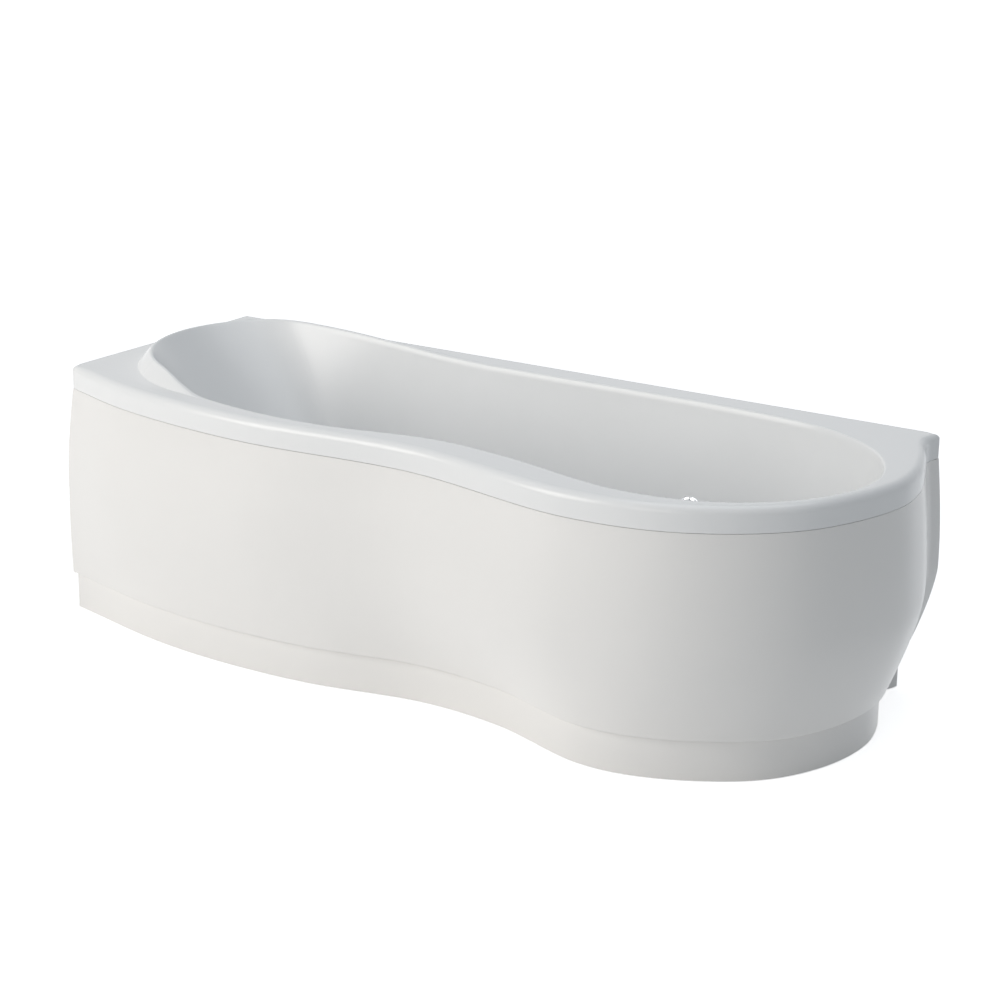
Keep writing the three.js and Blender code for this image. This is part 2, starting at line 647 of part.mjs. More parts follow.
// All holes in the shell
const shellHoles = [
  ...jetSeats.flatMap((seat) => drilled(seat, jet.barrelRadius + seating.clear, jet.faceRadius)),
  ...drilled(suctionSeat, suction.barrelRadius + seating.clear, suction.coverRadius),
  ...drilled(drainSeat, drain.holeRadius + seating.clear, drain.flangeRadius),
  ...drilled(overflowSeat, overflow.barrelRadius + seating.clear, overflow.knobRadius),
  ...drilled(valveSeat, valve.barrelRadius + seating.clear, valve.faceRadius),
  ...drilled(buttonSeat, button.barrelRadius + seating.clear, button.faceRadius),
];
const tubShell = cut(plainShell, ...shellHoles);

// Front panel: swells out below the rim and draws in again towards its foot
const panelRim = rimFront.getSpacedPoints(counts.front);
const panelBase = panelFoot.getSpacedPoints(counts.front);
const panelTop = bath.height - rim.height - panel.seam;
const endShare = 0.08;

function panelOutward(k) {
  const [before, after] = [Math.max(k - 1, 0), Math.min(k + 1, counts.front)];
  const tangent = panelRim[after].clone().sub(panelRim[before]);
  const side = vector(tangent.y, -tangent.x, 0).normalize();
  const along = k / counts.front;
  const left = side.clone().lerp(vector(0, -1, 0), 1 - smooth(along / endShare));
  return left.lerp(vector(1, 0, 0), 1 - smooth((1 - along) / endShare)).normalize();
}

// A point of the panel's face at a station, a height and an inset from its outer surface
function panelPoint(k, z, inset) {
  const share = (z - panel.footHeight) / (panelTop - panel.footHeight);
  const bulge = THREE.MathUtils.lerp(panel.leftBulge, panel.rightBulge, k / counts.front);
  const turnIn = Math.max(panel.turnHeight - z, 0) / (panel.turnHeight - panel.footHeight);
  const point = panelRim[k].clone().lerp(panelBase[k], turnIn ** panel.turnPower).setZ(z);
  return point.addScaledVector(panelOutward(k), bulge * Math.sin(Math.PI * share) - inset);
}

// Joins the sections of a strip, each a closed ring of points, and closes both ends
function strip(sections, profile) {
  const faces = [];
  const count = profile.length;
  for (let k = 0; k < sections.length - 1; k += 1) {
    for (let m = 0; m < count; m += 1) {
      const n = (m + 1) % count;
      faces.push(...quad(sections[k][m], sections[k + 1][m], sections[k + 1][n], sections[k][n]));
    }
  }
  const caps = THREE.ShapeUtils.triangulateShape(profile, []);
  const last = sections[sections.length - 1];
  for (const [a, b, c] of caps) {
    faces.push(sections[0][a], sections[0][b], sections[0][c], last[a], last[c], last[b]);
  }
  return meshOf(faces);
}

function frontPanel() {
  const heightShares = [1, 0.93, 0.78, 0.62, 0.48, 0.34, 0.22, 0.1, 0];
  const innerShares = [0.22, 0.48, 0.78, 1];
  const zAt = (share) => panel.footHeight + share * (panelTop - panel.footHeight);
  const flangeTop = panel.footHeight + panel.thickness;
  const profile = [
    ...heightShares.map((share) => [0, zAt(share)]), [panel.flange, panel.footHeight],
    [panel.flange, flangeTop], [panel.thickness, flangeTop],
    ...innerShares.map((share) => [panel.thickness, zAt(share)]),
  ];
  const sections = panelRim.map((_, k) => profile.map(([inset, z]) => panelPoint(k, z, inset)));
  return strip(sections, profile.map(([inset, z]) => new THREE.Vector2(inset, z)));
}

const kickPoint = (k, z, inset) =>
  panelBase[k].clone().addScaledVector(panelOutward(k), -kick.step - inset).setZ(z);

function toeKick() {
  const high = panel.footHeight - bath.gap;
  const profile = [[0, high], [0, kick.floorGap], [kick.thickness, kick.floorGap], [kick.thickness, high]];
  const sections = panelRim.map((_, k) => profile.map(([inset, z]) => kickPoint(k, z, inset)));
  return strip(sections, profile.map(([inset, z]) => new THREE.Vector2(inset, z)));
}

// Steel frame, welded in one piece: two long rails over three cross members, with posts
// up to the deck and a bracket at the front of each cross member for the panel's foot
const frame = {
  tube: 30, tubeWall: 2, weld: 1, crossFoot: 28, crossBack: 40, postTube: 20, postInset: 20,
};
const crossTop = frame.crossFoot + frame.tube;
const railFoot = crossTop - frame.weld;
const railTop = railFoot + frame.tube;

// Each cross member's place along the length and its front end; the rails' lines and ends
const crossShares = [[0.025, 0.727], [0.433, 0.8], [0.889, 0.787]];
const railShares = [0.32, 0.627];
const railEndShares = [0.017, 0.897];
const crossEnds = crossShares.map(plan);
const [railBack, railFront] = railShares.map((share) => -share * bath.depth);
const [railLeft, railRight] = railEndShares.map((share) => share * bath.length);
const deckUnder = bath.height - bath.shell - bath.gap;

// A square tube along one axis, open at both ends
function squareTube(low, high, axis) {
  const step = (i) => (i === axis ? -bath.overrun : frame.tubeWall);
  const inside = (corner, sign) => corner.map((value, i) => value + sign * step(i));
  return cut(block(low, high), block(inside(low, 1), inside(high, -1)));
}

const rail = (y) => {
  const half = frame.tube / 2;
  return squareTube([railLeft, y - half, railFoot], [railRight, y + half, railTop], 0);
};

// Levelling feet: a threaded rod with a pad, screwed through a nut welded in each cross member
const leg = {
  rodRadius: 5, rodTop: 74, padRadius: 22, padHeight: 12, padEdge: 4, holeClear: 0.3, nutRadius: 9.5,
  nutHeight: 8, nutSides: 6, inset: 42,
};
const legPlaces = crossEnds.flatMap(({ x, y }) => [[x, -frame.crossBack - leg.inset], [x, y + leg.inset]]);

const foot = () => turned([
  [0, 0], [leg.padRadius, 0], [leg.padRadius, leg.padEdge], [leg.rodRadius + leg.padEdge, leg.padHeight],
  [leg.rodRadius, leg.padHeight], [leg.rodRadius, leg.rodTop], [0, leg.rodTop],
], counts.port);

// Brackets run from the end of a cross member to the panel's foot flange
const bracket = { width: 26, plate: 3, run: 36, panelStand: 8 };
const flangeTop = panel.footHeight + panel.thickness;

function panelBracket({ x, y }) {
  const nearest = (best, point) =>
    (point.y < y / 2 && Math.abs(point.x - x) < Math.abs(best.x - x) ? point : best);
  const flangeY = panelBase.reduce(nearest, panelBase[0]).y + panel.thickness + bracket.panelStand;
  const half = bracket.width / 2;
  const low = flangeTop + bath.gap;
  const rear = y + bracket.run;
  const top = block([x - half, flangeY, low], [x + half, rear, low + bracket.plate]);
  const upright = block([x - half, rear - bracket.plate, railFoot], [x + half, rear, low + bracket.plate]);
  return join(top, upright);
}

const [crossLeft, , crossRight] = crossEnds;
const postBack = -frame.crossBack - frame.postInset;
const postPlaces = [
  [crossLeft.x, postBack], [crossLeft.x, crossLeft.y + frame.postInset], [crossRight.x, postBack],
];

function weldedFrame() {
  const half = frame.tube / 2;
  const crosses = crossEnds.map(({ x, y }) =>
    squareTube([x - half, y, frame.crossFoot], [x + half, -frame.crossBack, crossTop], 1));
  const column = (side, low, high) => postPlaces.map(([x, y]) =>
    block([x - side, y - side, low], [x + side, y + side, high]));
  const postHalf = frame.postTube / 2;
  const posts = column(postHalf, railFoot, deckUnder);
  const bores = column(postHalf - frame.tubeWall, crossTop + frame.weld, deckUnder + bath.overrun);
  const [nutLow, nutHigh] = [frame.crossFoot - leg.nutHeight, frame.crossFoot + frame.weld];
  const nuts = legPlaces.map(([x, y]) =>
    rod(leg.nutRadius, nutLow, nutHigh, leg.nutSides).translate(x, y, 0));
  const drills = legPlaces.map(([x, y]) =>
    rod(leg.rodRadius + leg.holeClear, 0, crossTop + bath.overrun).translate(x, y, 0));
  const whole = join(
    ...crosses, rail(railBack), rail(railFront), ...posts, ...nuts, ...crossEnds.map(panelBracket),
  );
  return cut(whole, ...drills, ...bores);
}

// Base board bonded under the floor, with a hole for the waste
const pad = { thickness: 18, holeRadius: 44 };
const padCornerShares = [[0.311, 0.667], [0.833, 0.3]];

function baseBoard() {
  const high = bath.floorHeight - bath.shell - bath.gap;
  const [first, second] = padCornerShares.map(plan);
  const plate = block([first.x, first.y, high - pad.thickness], [second.x, second.y, high]);
  const hole = rod(pad.holeRadius, high - pad.thickness - bath.overrun, high + bath.overrun, counts.round);
  return cut(plate, hole.translate(drainPlace.x, drainPlace.y, 0));
}

// Pump under the sloping head end, on a plate across the rails. Its axis runs along Y.
const pumpShares = [0.106, 0.447];
const pump = {
  x: plan(pumpShares).x, y: plan(pumpShares).y, axisHeight: 172,
  motorRadius: 62, motorBack: -130, motorFront: 62, bossRadius: 8.2, flangeRadius: 78,
  voluteRadius: 80, voluteDepth: 62, cavityRadius: 62, wall: 5, inletRadius: 24,
  inletReach: 20, outletRadius: 16, outletReach: 112, shaftRadius: 7.5, impellerRadius: 52,
  impellerStand: 12, discThickness: 5, bladeHeight: 16, bladeWidth: 4, blades: 6, fanRadius: 48,
  fanHoodDepth: 34, footWidth: 20, footSpread: 70, footLength: 130, terminalSize: 44, terminalRise: 24,
  plateThickness: 4, plateMargin: 26,
};
const plateFoot = railTop + bath.gap;
const plateTop = plateFoot + pump.plateThickness;
const pumpGroup = new THREE.Group();
pumpGroup.position.set(pump.x, pump.y, pump.axisHeight);
pumpGroup.rotation.x = Math.PI / 2;
const pumpAt = (x, y, z) => vector(pump.x + x, pump.y - z, pump.axisHeight + y);
function pumpPlate() {
  const reach = pump.footSpread + pump.plateMargin;
  const front = railFront - frame.tube / 2;
  const back = railBack + frame.tube / 2 + pump.plateMargin;
  return block([pump.x - reach - pump.plateMargin, front, plateFoot], [pump.x + reach, back, plateTop]);
}

function pumpMotor() {
  const front = pump.motorFront;
  const can = rod(pump.motorRadius, pump.motorBack, front, counts.round);
  const flange = rod(pump.flangeRadius, front - pump.wall, front + pump.wall, counts.round);
  const low = plateTop + bath.gap - pump.axisHeight;
  const reach = pump.footSpread + pump.footWidth / 2;
  const [first, last] = [-pump.footLength / 2, pump.footLength / 2];
  const sole = block([-reach, low, first], [reach, low + pump.wall, last]);
  const web = block([-pump.footWidth, low, first], [pump.footWidth, -pump.motorRadius / 2, last]);
  const half = pump.terminalSize / 2;
  const terminalTop = pump.motorRadius + pump.terminalRise;
  const terminal = block([-half, pump.motorRadius / 2, -half], [half, terminalTop, half]);
  const bore = rod(pump.bossRadius, pump.motorBack - bath.overrun, front + pump.wall + bath.overrun);
  return cut(join(can, flange, sole, web, terminal), bore);
}

function pumpVolute() {
  const back = pump.motorFront + pump.wall + bath.gap;
  const front = back + pump.voluteDepth;
  const mouth = front + pump.inletReach;
  const cup = turned([
    [pump.cavityRadius, back], [pump.voluteRadius, back], [pump.voluteRadius, front],
    [pump.inletRadius, front], [pump.inletRadius, mouth], [pump.inletRadius - pump.wall, mouth],
    [pump.inletRadius - pump.wall, front - pump.wall], [pump.cavityRadius, front - pump.wall],
  ]);
  const centre = (back + front) / 2;
  const upright = (radius, from, to) => rod(radius, from, to).rotateX(-Math.PI / 2).translate(0, 0, centre);
  const neck = upright(pump.outletRadius, pump.cavityRadius + pump.wall, pump.outletReach);
  const boreRadius = pump.outletRadius - pump.wall / 2;
  const bore = upright(boreRadius, pump.cavityRadius - pump.wall, pump.outletReach + bath.overrun);
  return cut(join(cup, neck), bore);
}

// A disc with straight blades on one side
function bladed(radius, from, side) {
  const to = from + side * pump.discThickness;
  const pieces = [rod(radius, Math.min(from, to), Math.max(from, to))];
  for (let i = 0; i < pump.blades; i += 1) {
    const half = pump.bladeWidth / 2;
    const tip = to + side * pump.bladeHeight;
    const inner = to - (side * pump.discThickness) / 2;
    const blade = block([0, -half, Math.min(inner, tip)], [radius - half, half, Math.max(inner, tip)]);
    pieces.push(blade.rotateZ((i / pump.blades) * 2 * Math.PI));
  }
  return join(...pieces);
}

function pumpRotor() {
  const impeller = pump.motorFront + pump.wall + pump.impellerStand;
  const fan = pump.motorBack - pump.wall;
  const nose = impeller + pump.discThickness + pump.bladeHeight;
  return join(
    rod(pump.shaftRadius, fan - pump.discThickness, nose), bladed(pump.impellerRadius, impeller, 1),
    bladed(pump.fanRadius, fan, -1),
  );
}

function fanHood() {
  const front = pump.motorBack - bath.gap;
  const back = front - pump.fanHoodDepth;
  const inner = pump.motorRadius - pump.wall;
  const lid = back + pump.wall / 2;
  return turned([
    [pump.motorRadius, front], [inner, front], [inner, lid], [pump.inletRadius, lid],
    [pump.inletRadius, back], [pump.motorRadius, back],
  ]);
}

// Pump pipes, with the number of steps along each pipe and lead
const pipeSteps = {
  suction: 11, discharge: 14, overflow: 15, cable: 24, airFeed: 9, motorLead: 8, hose: 32,
};
const inletEnd = pump.motorFront + pump.wall + bath.gap + pump.voluteDepth + pump.inletReach;
const outletMiddle = pump.motorFront + pump.wall + bath.gap + pump.voluteDepth / 2;
const bend = {
  suction: 62, discharge: 34, outward: 40, rise: 12, lead: 70, clearHead: 52, overHeadShare: [0.17, 0.8],
};

function suctionPipe() {
  const seat = suctionSeat;
  const [reach, z] = [suction.portReach, -suction.portDepth];
  return pipe([
    seat.at(reach + bath.gap, 0, z), seat.at(reach + bend.discharge, 0, z),
    pumpAt(bend.suction + bend.outward, bend.rise, inletEnd + bend.suction),
    pumpAt(bend.rise, 0, inletEnd + bend.suction), pumpAt(0, 0, inletEnd + bend.discharge),
    pumpAt(0, 0, inletEnd + bath.gap),
  ], suction.portRadius, suction.wall, pipeSteps.suction);
}

function dischargePipe() {
  const [start, next] = flowRoute;
  const away = start.clone().sub(next).normalize();
  const wallPoint = (share, z) => wallSeat(bearing(plan(share)), jetHeight + bend.rise).at(0, 0, z);
  return pipe([
    pumpAt(0, pump.outletReach + bath.gap, outletMiddle),
    pumpAt(0, pump.outletReach + bend.discharge, outletMiddle),
    wallPoint(bend.overHeadShare, -bend.clearHead), wallPoint(suction.share, -jet.portDepth),
    start.clone().addScaledVector(away, bend.discharge), start.clone().addScaledVector(away, bath.gap),
  ], manifold.radius, manifold.wall, pipeSteps.discharge);
}

// Overflow pipe down to the trap, and the plug cable beside it
const fall = { low: 34, cableRadius: 2.5, cableSide: 34, cableTurn: 78 };
const overflowDown = overflowSeat.at(0, -overflow.portReach - bath.gap, -overflow.portDepth);
const trapFace = drainPlace.y - drain.trapRadius - bath.gap;
const fallShares = [[0, 0.35], [0.3, 0.7], [0.6, 0.94], [0.8, 1]];

function fallRoute(side, low) {
  const start = overflowDown;
  const reach = trapFace - start.y;
  return fallShares.map(([inward, down]) =>
    vector(start.x + side, start.y + inward * reach, THREE.MathUtils.lerp(start.z, low, down)));
}

function overflowPipe() {
  const down = overflowSeat.at(0, -overflow.portReach - 2 * overflow.portRadius, -overflow.portDepth);
  const end = vector(drainPlace.x, trapFace, fall.low);
  const route = [overflowDown, down, ...fallRoute(0, fall.low), end];
  return pipe(route, overflow.portRadius, overflow.wall, pipeSteps.overflow);
}

function plugCable() {
  const top = overflowSeat.at(
    -overflow.barrelRadius - bath.gap - fall.cableRadius, 0, -overflow.portDepth,
  );
  const end = drainFoot + fall.cableRadius + bath.overrun;
  const bodySide = drain.holeRadius + drain.clearance + drain.wall + bath.gap;
  const last = vector(drainPlace.x + bodySide, drainPlace.y, end);
  const before = vector(drainPlace.x + fall.cableTurn, drainPlace.y, end - bath.overrun);
  const under = vector(drainPlace.x + fall.cableTurn, trapFace, fall.low);
  return pipe(
    [top, ...fallRoute(fall.cableSide, fall.low + bath.overrun), under, before, last],
    fall.cableRadius, 0, pipeSteps.cable, counts.lead,
  );
}

function airFeed() {
  const [end, next] = airRoute;
  const away = end.clone().sub(next).normalize();
  const start = valveSeat.at(0, -valve.portReach - bath.gap, -valve.portDepth);
  const down = valveSeat.at(0, -valve.portReach - bend.discharge, -valve.portDepth);
  const before = end.clone().addScaledVector(away, bend.discharge);
  const last = end.clone().addScaledVector(away, bath.gap);
  return pipe([start, down, before, last], valve.portRadius, manifold.wall, pipeSteps.airFeed);
}

// Control box on the pump plate, its lead to the motor, and the button's air hose
const box = {
  width: 36, length: 110, height: 92, wall: 3, leadRadius: 4, leadStand: 1, hoseRadius: 3, gland: 7,
  glandRise: 8,
};
const boxLeft = pump.x - pump.footSpread - 2 * pump.plateMargin + box.wall;
const boxLow = [boxLeft, pump.y - box.length / 2, plateTop + bath.gap];
const boxTop = boxLow[2] + box.height;
const boxMiddle = boxLow[0] + box.width / 2;
const glandEnd = boxTop + box.glandRise;
const glandSpots = [-1, 0, 1].map((side) =>
  vector(boxMiddle, pump.y + (side * box.length) / 3, glandEnd));

function controlBox() {
  const high = [boxLow[0] + box.width, boxLow[1] + box.length, boxTop];
  const glands = glandSpots.map(({ x, y }) =>
    rod(box.gland, boxTop - box.wall, glandEnd).translate(x, y, 0));
  return join(block(boxLow, high), ...glands);
}

function motorLead() {
  const [start, half] = [glandSpots[1], pump.terminalSize / 2];
  const rise = pump.motorRadius + pump.terminalRise / 2;
  const end = pumpAt(-half - box.leadStand, rise, 0);
  return pipe([
    start.clone().setZ(glandEnd + bath.gap), start.clone().setZ(glandEnd + bend.outward),
    end.clone().add(vector(-bend.discharge, 0, 0)), end,
  ], box.leadRadius, 0, pipeSteps.motorLead, counts.lead);
}

const hose = { belowRim: 108, stand: 41 };
const hoseShares = [[0.43, 0.86], [0.34, 0.87], [0.22, 0.84], [0.12, 0.73]];

function buttonHose() {
  const start = buttonSeat.at(0, -button.portReach - bath.gap, -button.portDepth);
  const down = buttonSeat.at(0, -button.portReach - 3 * button.portRadius, -button.portDepth);
  const level = bath.height - hose.belowRim;
  const behind = (share) => wallSeat(bearing(plan(share)), level).at(0, 0, -hose.stand);
  const end = glandSpots[0].clone().setZ(glandEnd + bath.gap);
  const above = end.clone().setZ(glandEnd + bend.outward);
  const over = above.clone().add(vector(0, -bend.discharge, bend.lead));
  return pipe(
    [start, down, ...hoseShares.map(behind), over, above, end],
    box.hoseRadius, 0, pipeSteps.hose, counts.lead,
  );
}

// Clips behind the rim that hold the top of the panel
const clip = { width: 20, plate: 3, above: 30, below: 22, stand: 0.6 };
const clipShares = [0.14, 0.4, 0.64, 0.82];

// Places a piece made in section axes, X outwards and Z up, on a station of the front
function atStation(share, geometry, curve) {
  const k = Math.round(share * counts.front);
  const outward = panelOutward(k);
  const across = worldUp.clone().cross(outward);
  const matrix = new THREE.Matrix4().makeBasis(outward, across, worldUp).setPosition(curve[k]);
  return geometry.clone().applyMatrix4(matrix);
}

function panelClip() {
  const seam = bath.height - rim.height;
  const half = clip.width / 2;
  const behindRim = -bath.shell - clip.stand - bath.gap;
  const behindPanel = -panel.thickness - clip.stand - bath.gap;
  const low = [behindRim - clip.plate, -half, seam - clip.below];
  const plate = block(low, [behindRim, half, seam + clip.above]);
  const toe = block(low, [behindPanel, half, seam - panel.seam - clip.plate]);
  return join(plate, toe);
}

// Group of everything
const bathtub = new THREE.Group();

function add(name, geometry, material, parent = bathtub) {
  const mesh = new THREE.Mesh(clean(geometry), material);
  mesh.name = name;
  parent.add(mesh);
  return mesh;
}

function seatGroup(seat, stand = 0) {
  const group = new THREE.Group();
  seat.matrix.decompose(group.position, group.quaternion, group.scale);
  group.position.copy(seat.at(0, 0, stand));
  bathtub.add(group);
  return group;
}

add('tub_shell', tubShell, acrylic);
add('front_panel', frontPanel(), panelWhite);
add('toe_kick', toeKick(), panelWhite);
add('base_board', baseBoard(), board);
add('frame', weldedFrame(), zinc);
legPlaces.forEach(([x, y], i) => add(`foot_${i + 1}`, foot().translate(x, y, 0), zinc));
clipShares.forEach((share, i) => add(`panel_clip_${i + 1}`, atStation(share, panelClip(), panelRim), zinc));

jetSeats.forEach((seat, i) => {
  const group = seatGroup(seat);
  add(`jet_body_${i + 1}`, jetBody(), whitePlastic, group);
  add(`jet_face_${i + 1}`, jetFace(), chrome, group);
  add(`jet_nozzle_${i + 1}`, jetNozzle(), chrome, group);
});
add('flow_manifold', flowManifold(), whitePlastic);
add('air_manifold', airManifold(), whitePlastic);

const suctionGroup = seatGroup(suctionSeat);
add('suction_body', suctionBody(), whitePlastic, suctionGroup);
add('suction_cover', suctionCover(), chrome, suctionGroup);
add('suction_pipe', suctionPipe(), whitePlastic);
add('discharge_pipe', dischargePipe(), whitePlastic);

add('pump_plate', pumpPlate(), zinc);
bathtub.add(pumpGroup);
add('pump_motor', pumpMotor(), motorGrey, pumpGroup);
add('pump_volute', pumpVolute(), pumpBlack, pumpGroup);
add('pump_rotor', pumpRotor(), zinc, pumpGroup);
add('fan_hood', fanHood(), pumpBlack, pumpGroup);

const drainGroup = seatGroup(drainSeat);
add('drain_flange', drainFlange(), chrome, drainGroup);
add('drain_body', drainBody(), greyPlastic, drainGroup);
add('drain_plug', drainPlug(), chrome, drainGroup);
add('trap', trapBody(), greyPlastic);

const overflowGroup = seatGroup(overflowSeat);
add('overflow_body', overflowBody(), greyPlastic, overflowGroup);
add('overflow_knob', overflowKnob(), chrome, overflowGroup);
add('overflow_pipe', overflowPipe(), greyPlastic);
add('plug_cable', plugCable(), rubber);

const valveGroup = seatGroup(valveSeat);
add('air_valve_body', valveBody(), chrome, valveGroup);
add('air_valve_knob', valveKnob(), chrome, valveGroup);
add('air_feed', airFeed(), whitePlastic);

const buttonGroup = seatGroup(buttonSeat);
add('button_body', buttonBody(), chrome, buttonGroup);
add('start_button', buttonCap(), whitePlastic, buttonGroup);
add('button_hose', buttonHose(), greyPlastic);
add('control_box', controlBox(), pumpBlack);
add('motor_lead', motorLead(), rubber);

// The origin is under the middle of the bath's box, on the floor
bathtub.updateMatrixWorld(true);
const extent = new THREE.Box3().setFromObject(bathtub);
const centre = extent.getCenter(vector(0, 0, 0));
bathtub.position.set(-centre.x, -centre.y, -extent.min.z);

export default bathtub;
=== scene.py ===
import json
from math import atan2, cos, pi, radians, sin

import bmesh
import bpy
import numpy as np
from mathutils import Matrix, Vector


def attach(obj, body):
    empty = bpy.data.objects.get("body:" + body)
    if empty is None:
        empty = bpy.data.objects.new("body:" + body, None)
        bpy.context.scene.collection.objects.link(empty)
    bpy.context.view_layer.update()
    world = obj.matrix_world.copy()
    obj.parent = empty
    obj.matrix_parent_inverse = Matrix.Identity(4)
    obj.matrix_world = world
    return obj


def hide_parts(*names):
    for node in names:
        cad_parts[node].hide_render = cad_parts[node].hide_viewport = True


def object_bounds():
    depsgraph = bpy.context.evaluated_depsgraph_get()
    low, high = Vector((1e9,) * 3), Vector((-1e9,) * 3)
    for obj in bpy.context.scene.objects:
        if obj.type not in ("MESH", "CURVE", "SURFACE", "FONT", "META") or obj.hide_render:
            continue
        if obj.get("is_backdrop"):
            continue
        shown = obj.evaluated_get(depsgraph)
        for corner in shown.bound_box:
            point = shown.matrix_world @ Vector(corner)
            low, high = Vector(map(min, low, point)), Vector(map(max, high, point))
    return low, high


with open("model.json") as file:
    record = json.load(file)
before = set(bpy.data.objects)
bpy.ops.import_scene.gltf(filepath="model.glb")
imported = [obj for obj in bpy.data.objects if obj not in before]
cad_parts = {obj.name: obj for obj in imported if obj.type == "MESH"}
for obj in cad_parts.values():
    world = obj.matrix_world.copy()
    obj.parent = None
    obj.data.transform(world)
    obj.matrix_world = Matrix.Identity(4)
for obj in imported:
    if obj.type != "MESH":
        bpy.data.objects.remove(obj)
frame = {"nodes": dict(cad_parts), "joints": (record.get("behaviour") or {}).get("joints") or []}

cad_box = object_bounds()


# Camera, floor and light
# The camera stands where the photograph was taken from, in front of the foot end and above the
# rim. A soft key light comes from the front left, so the foot end lies in pale grey shade.
scene = bpy.context.scene
camera = bpy.data.objects.new("camera", bpy.data.cameras.new("camera"))
camera.location = (2.581, -3.890, 1.812)
camera.rotation_euler = [radians(angle) for angle in (72.683, -0.673, 33.293)]
camera.data.sensor_width = 36
camera.data.lens = 87.27
scene.collection.objects.link(camera)
scene.camera = camera
scene.view_settings.view_transform = "Standard"


def lamp(name, place, aim, size, power, colour):
    """A round lamp that looks at a point, with its size in metres and its power in watts."""
    light = bpy.data.lights.new(name, "AREA")
    light.shape, light.size, light.energy, light.color = "DISK", size, power, colour
    holder = bpy.data.objects.new(name, light)
    holder.location = place
    holder.rotation_euler = (Vector(aim) - Vector(place)).to_track_quat("-Z", "Y").to_euler()
    scene.collection.objects.link(holder)


lamp("key", (-3.4, -5.2, 2.9), (-0.2, 0, 0.3), 4.2, 200, (1.0, 0.965, 0.92))
lamp("front", (0.9, -6.2, 2.2), (0.0, 0, 0.3), 3.2, 40, (1.0, 0.975, 0.94))
lamp("top", (0.6, 0.4, 4.2), (0, 0, 0.2), 3.6, 44, (0.93, 0.96, 1.0))


def fed(node, inputs):
    """Gives each named or numbered input of a shader node a value, or the socket that feeds it."""
    for key, given in inputs.items():
        if isinstance(given, bpy.types.NodeSocket):
            node.id_data.links.new(given, node.inputs[key])
        else:
            node.inputs[key].default_value = given
    return node


def shader_node(tree, kind, inputs, operation=""):
    """Adds a shader node and feeds its inputs."""
    node = tree.nodes.new("ShaderNode" + kind)
    if operation:
        node.operation = operation
    return fed(node, inputs)


def seen_directly(tree):
    """1 for rays that the camera, a reflection or a clear surface sends, and 0 for light."""
    rays = shader_node(tree, "LightPath", {}).outputs
    first = shader_node(tree, "Math", {0: rays["Is Camera Ray"], 1: rays["Is Glossy Ray"]}, "MAXIMUM")
    either = shader_node(tree, "Math", {0: first.outputs[0], 1: rays["Is Transmission Ray"]}, "MAXIMUM")
    return either.outputs[0]


world = bpy.data.worlds.new("studio")
scene.world = world
world.use_nodes = True
tree = world.node_tree
tree.nodes.clear()
ambient = shader_node(tree, "Background", {"Color": (0.84, 0.92, 1.0, 1), "Strength": 0.25})
backdrop = shader_node(tree, "Background", {"Color": (1, 1, 1, 1), "Strength": 1.0})
either = shader_node(tree, "MixShader", {0: seen_directly(tree), 1: ambient.outputs[0],
                                         2: backdrop.outputs[0]})
shader_node(tree, "OutputWorld", {"Surface": either.outputs[0]})


def as_object(bm, name="part"):
    """Puts a mesh into the scene as an object of its own."""
    mesh = bpy.data.meshes.new(name)
    bm.to_mesh(mesh)
    bm.free()
    made = bpy.data.objects.new(name, mesh)
    scene.collection.objects.link(made)
    return made


ground = bmesh.new()
bmesh.ops.create_grid(ground, x_segments=1, y_segments=1, size=14)
floor = as_object(ground, "floor")
floor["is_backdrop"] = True

pale = bpy.data.materials.new("pale_floor")
pale.use_nodes = True
tree = pale.node_tree
tree.nodes.clear()
matt = shader_node(tree, "BsdfDiffuse", {"Color": (0.9, 0.905, 0.91, 1)})
# far from the lamps the floor would turn grey, so its own white grows with the distance in metres
place = shader_node(tree, "TexCoord", {})
distance = shader_node(tree, "VectorMath", {0: place.outputs["Object"]}, "LENGTH")
white = shader_node(tree, "MapRange", {"Value": distance.outputs["Value"], "From Min": 2.5, "From Max": 7,
                                       "To Min": 0.7, "To Max": 1})
shown = shader_node(tree, "Math", {0: seen_directly(tree), 1: white.outputs["Result"]}, "MULTIPLY")
glow = shader_node(tree, "Emission", {"Color": (1, 1, 1, 1), "Strength": shown.outputs[0]})
together = shader_node(tree, "AddShader", {0: matt.outputs[0], 1: glow.outputs[0]})
shader_node(tree, "OutputMaterial", {"Surface": together.outputs[0]})
floor.data.materials.append(pale)


# Tub shell
# One sheet of white acrylic, vacuum-formed into the rim, the raised head ring, the deck and the
# basin in a single skin, with glass fibre and resin sprayed on its back. Every flat seat and hole
# for a fitting is cut into it afterwards.
mm = 0.001
left_wall, back_wall = cad_box[0].x, cad_box[1].y
bath = {"length": 1800, "depth": 750, "height": 542, "shell": 8, "floor": 115, "knee": 205}
rim = {"height": 49, "radius": 17, "wall_radius": 3, "lip_width": 14, "lip_drop": 4, "corner": 3, "ear": 12,
       "ear_run": 40}
ring = {"height": 30, "run": 22, "front_start": 230, "front_end": 400, "back_start": 150, "back_end": 720}
rim_front_shares = [
    (0, 0.781), (0.118, 0.876), (0.3, 0.933), (0.52, 0.903), (0.74, 0.995), (0.857, 0.942),
    (0.955, 0.758), (1, 0.482), (0.997, 0.33), (0.978, 0.187), (0.96, 0.09), (0.953, 0)]
basin_edge_shares = [
    (0.083, 0.133), (0.047, 0.26), (0.036, 0.4), (0.052, 0.553), (0.093, 0.683), (0.167, 0.79),
    (0.278, 0.858), (0.389, 0.866), (0.528, 0.805), (0.622, 0.828), (0.778, 0.911),
    (0.867, 0.875), (0.937, 0.755), (0.973, 0.587), (0.974, 0.44), (0.937, 0.267),
    (0.861, 0.14), (0.767, 0.095), (0.417, 0.085), (0.167, 0.089)]
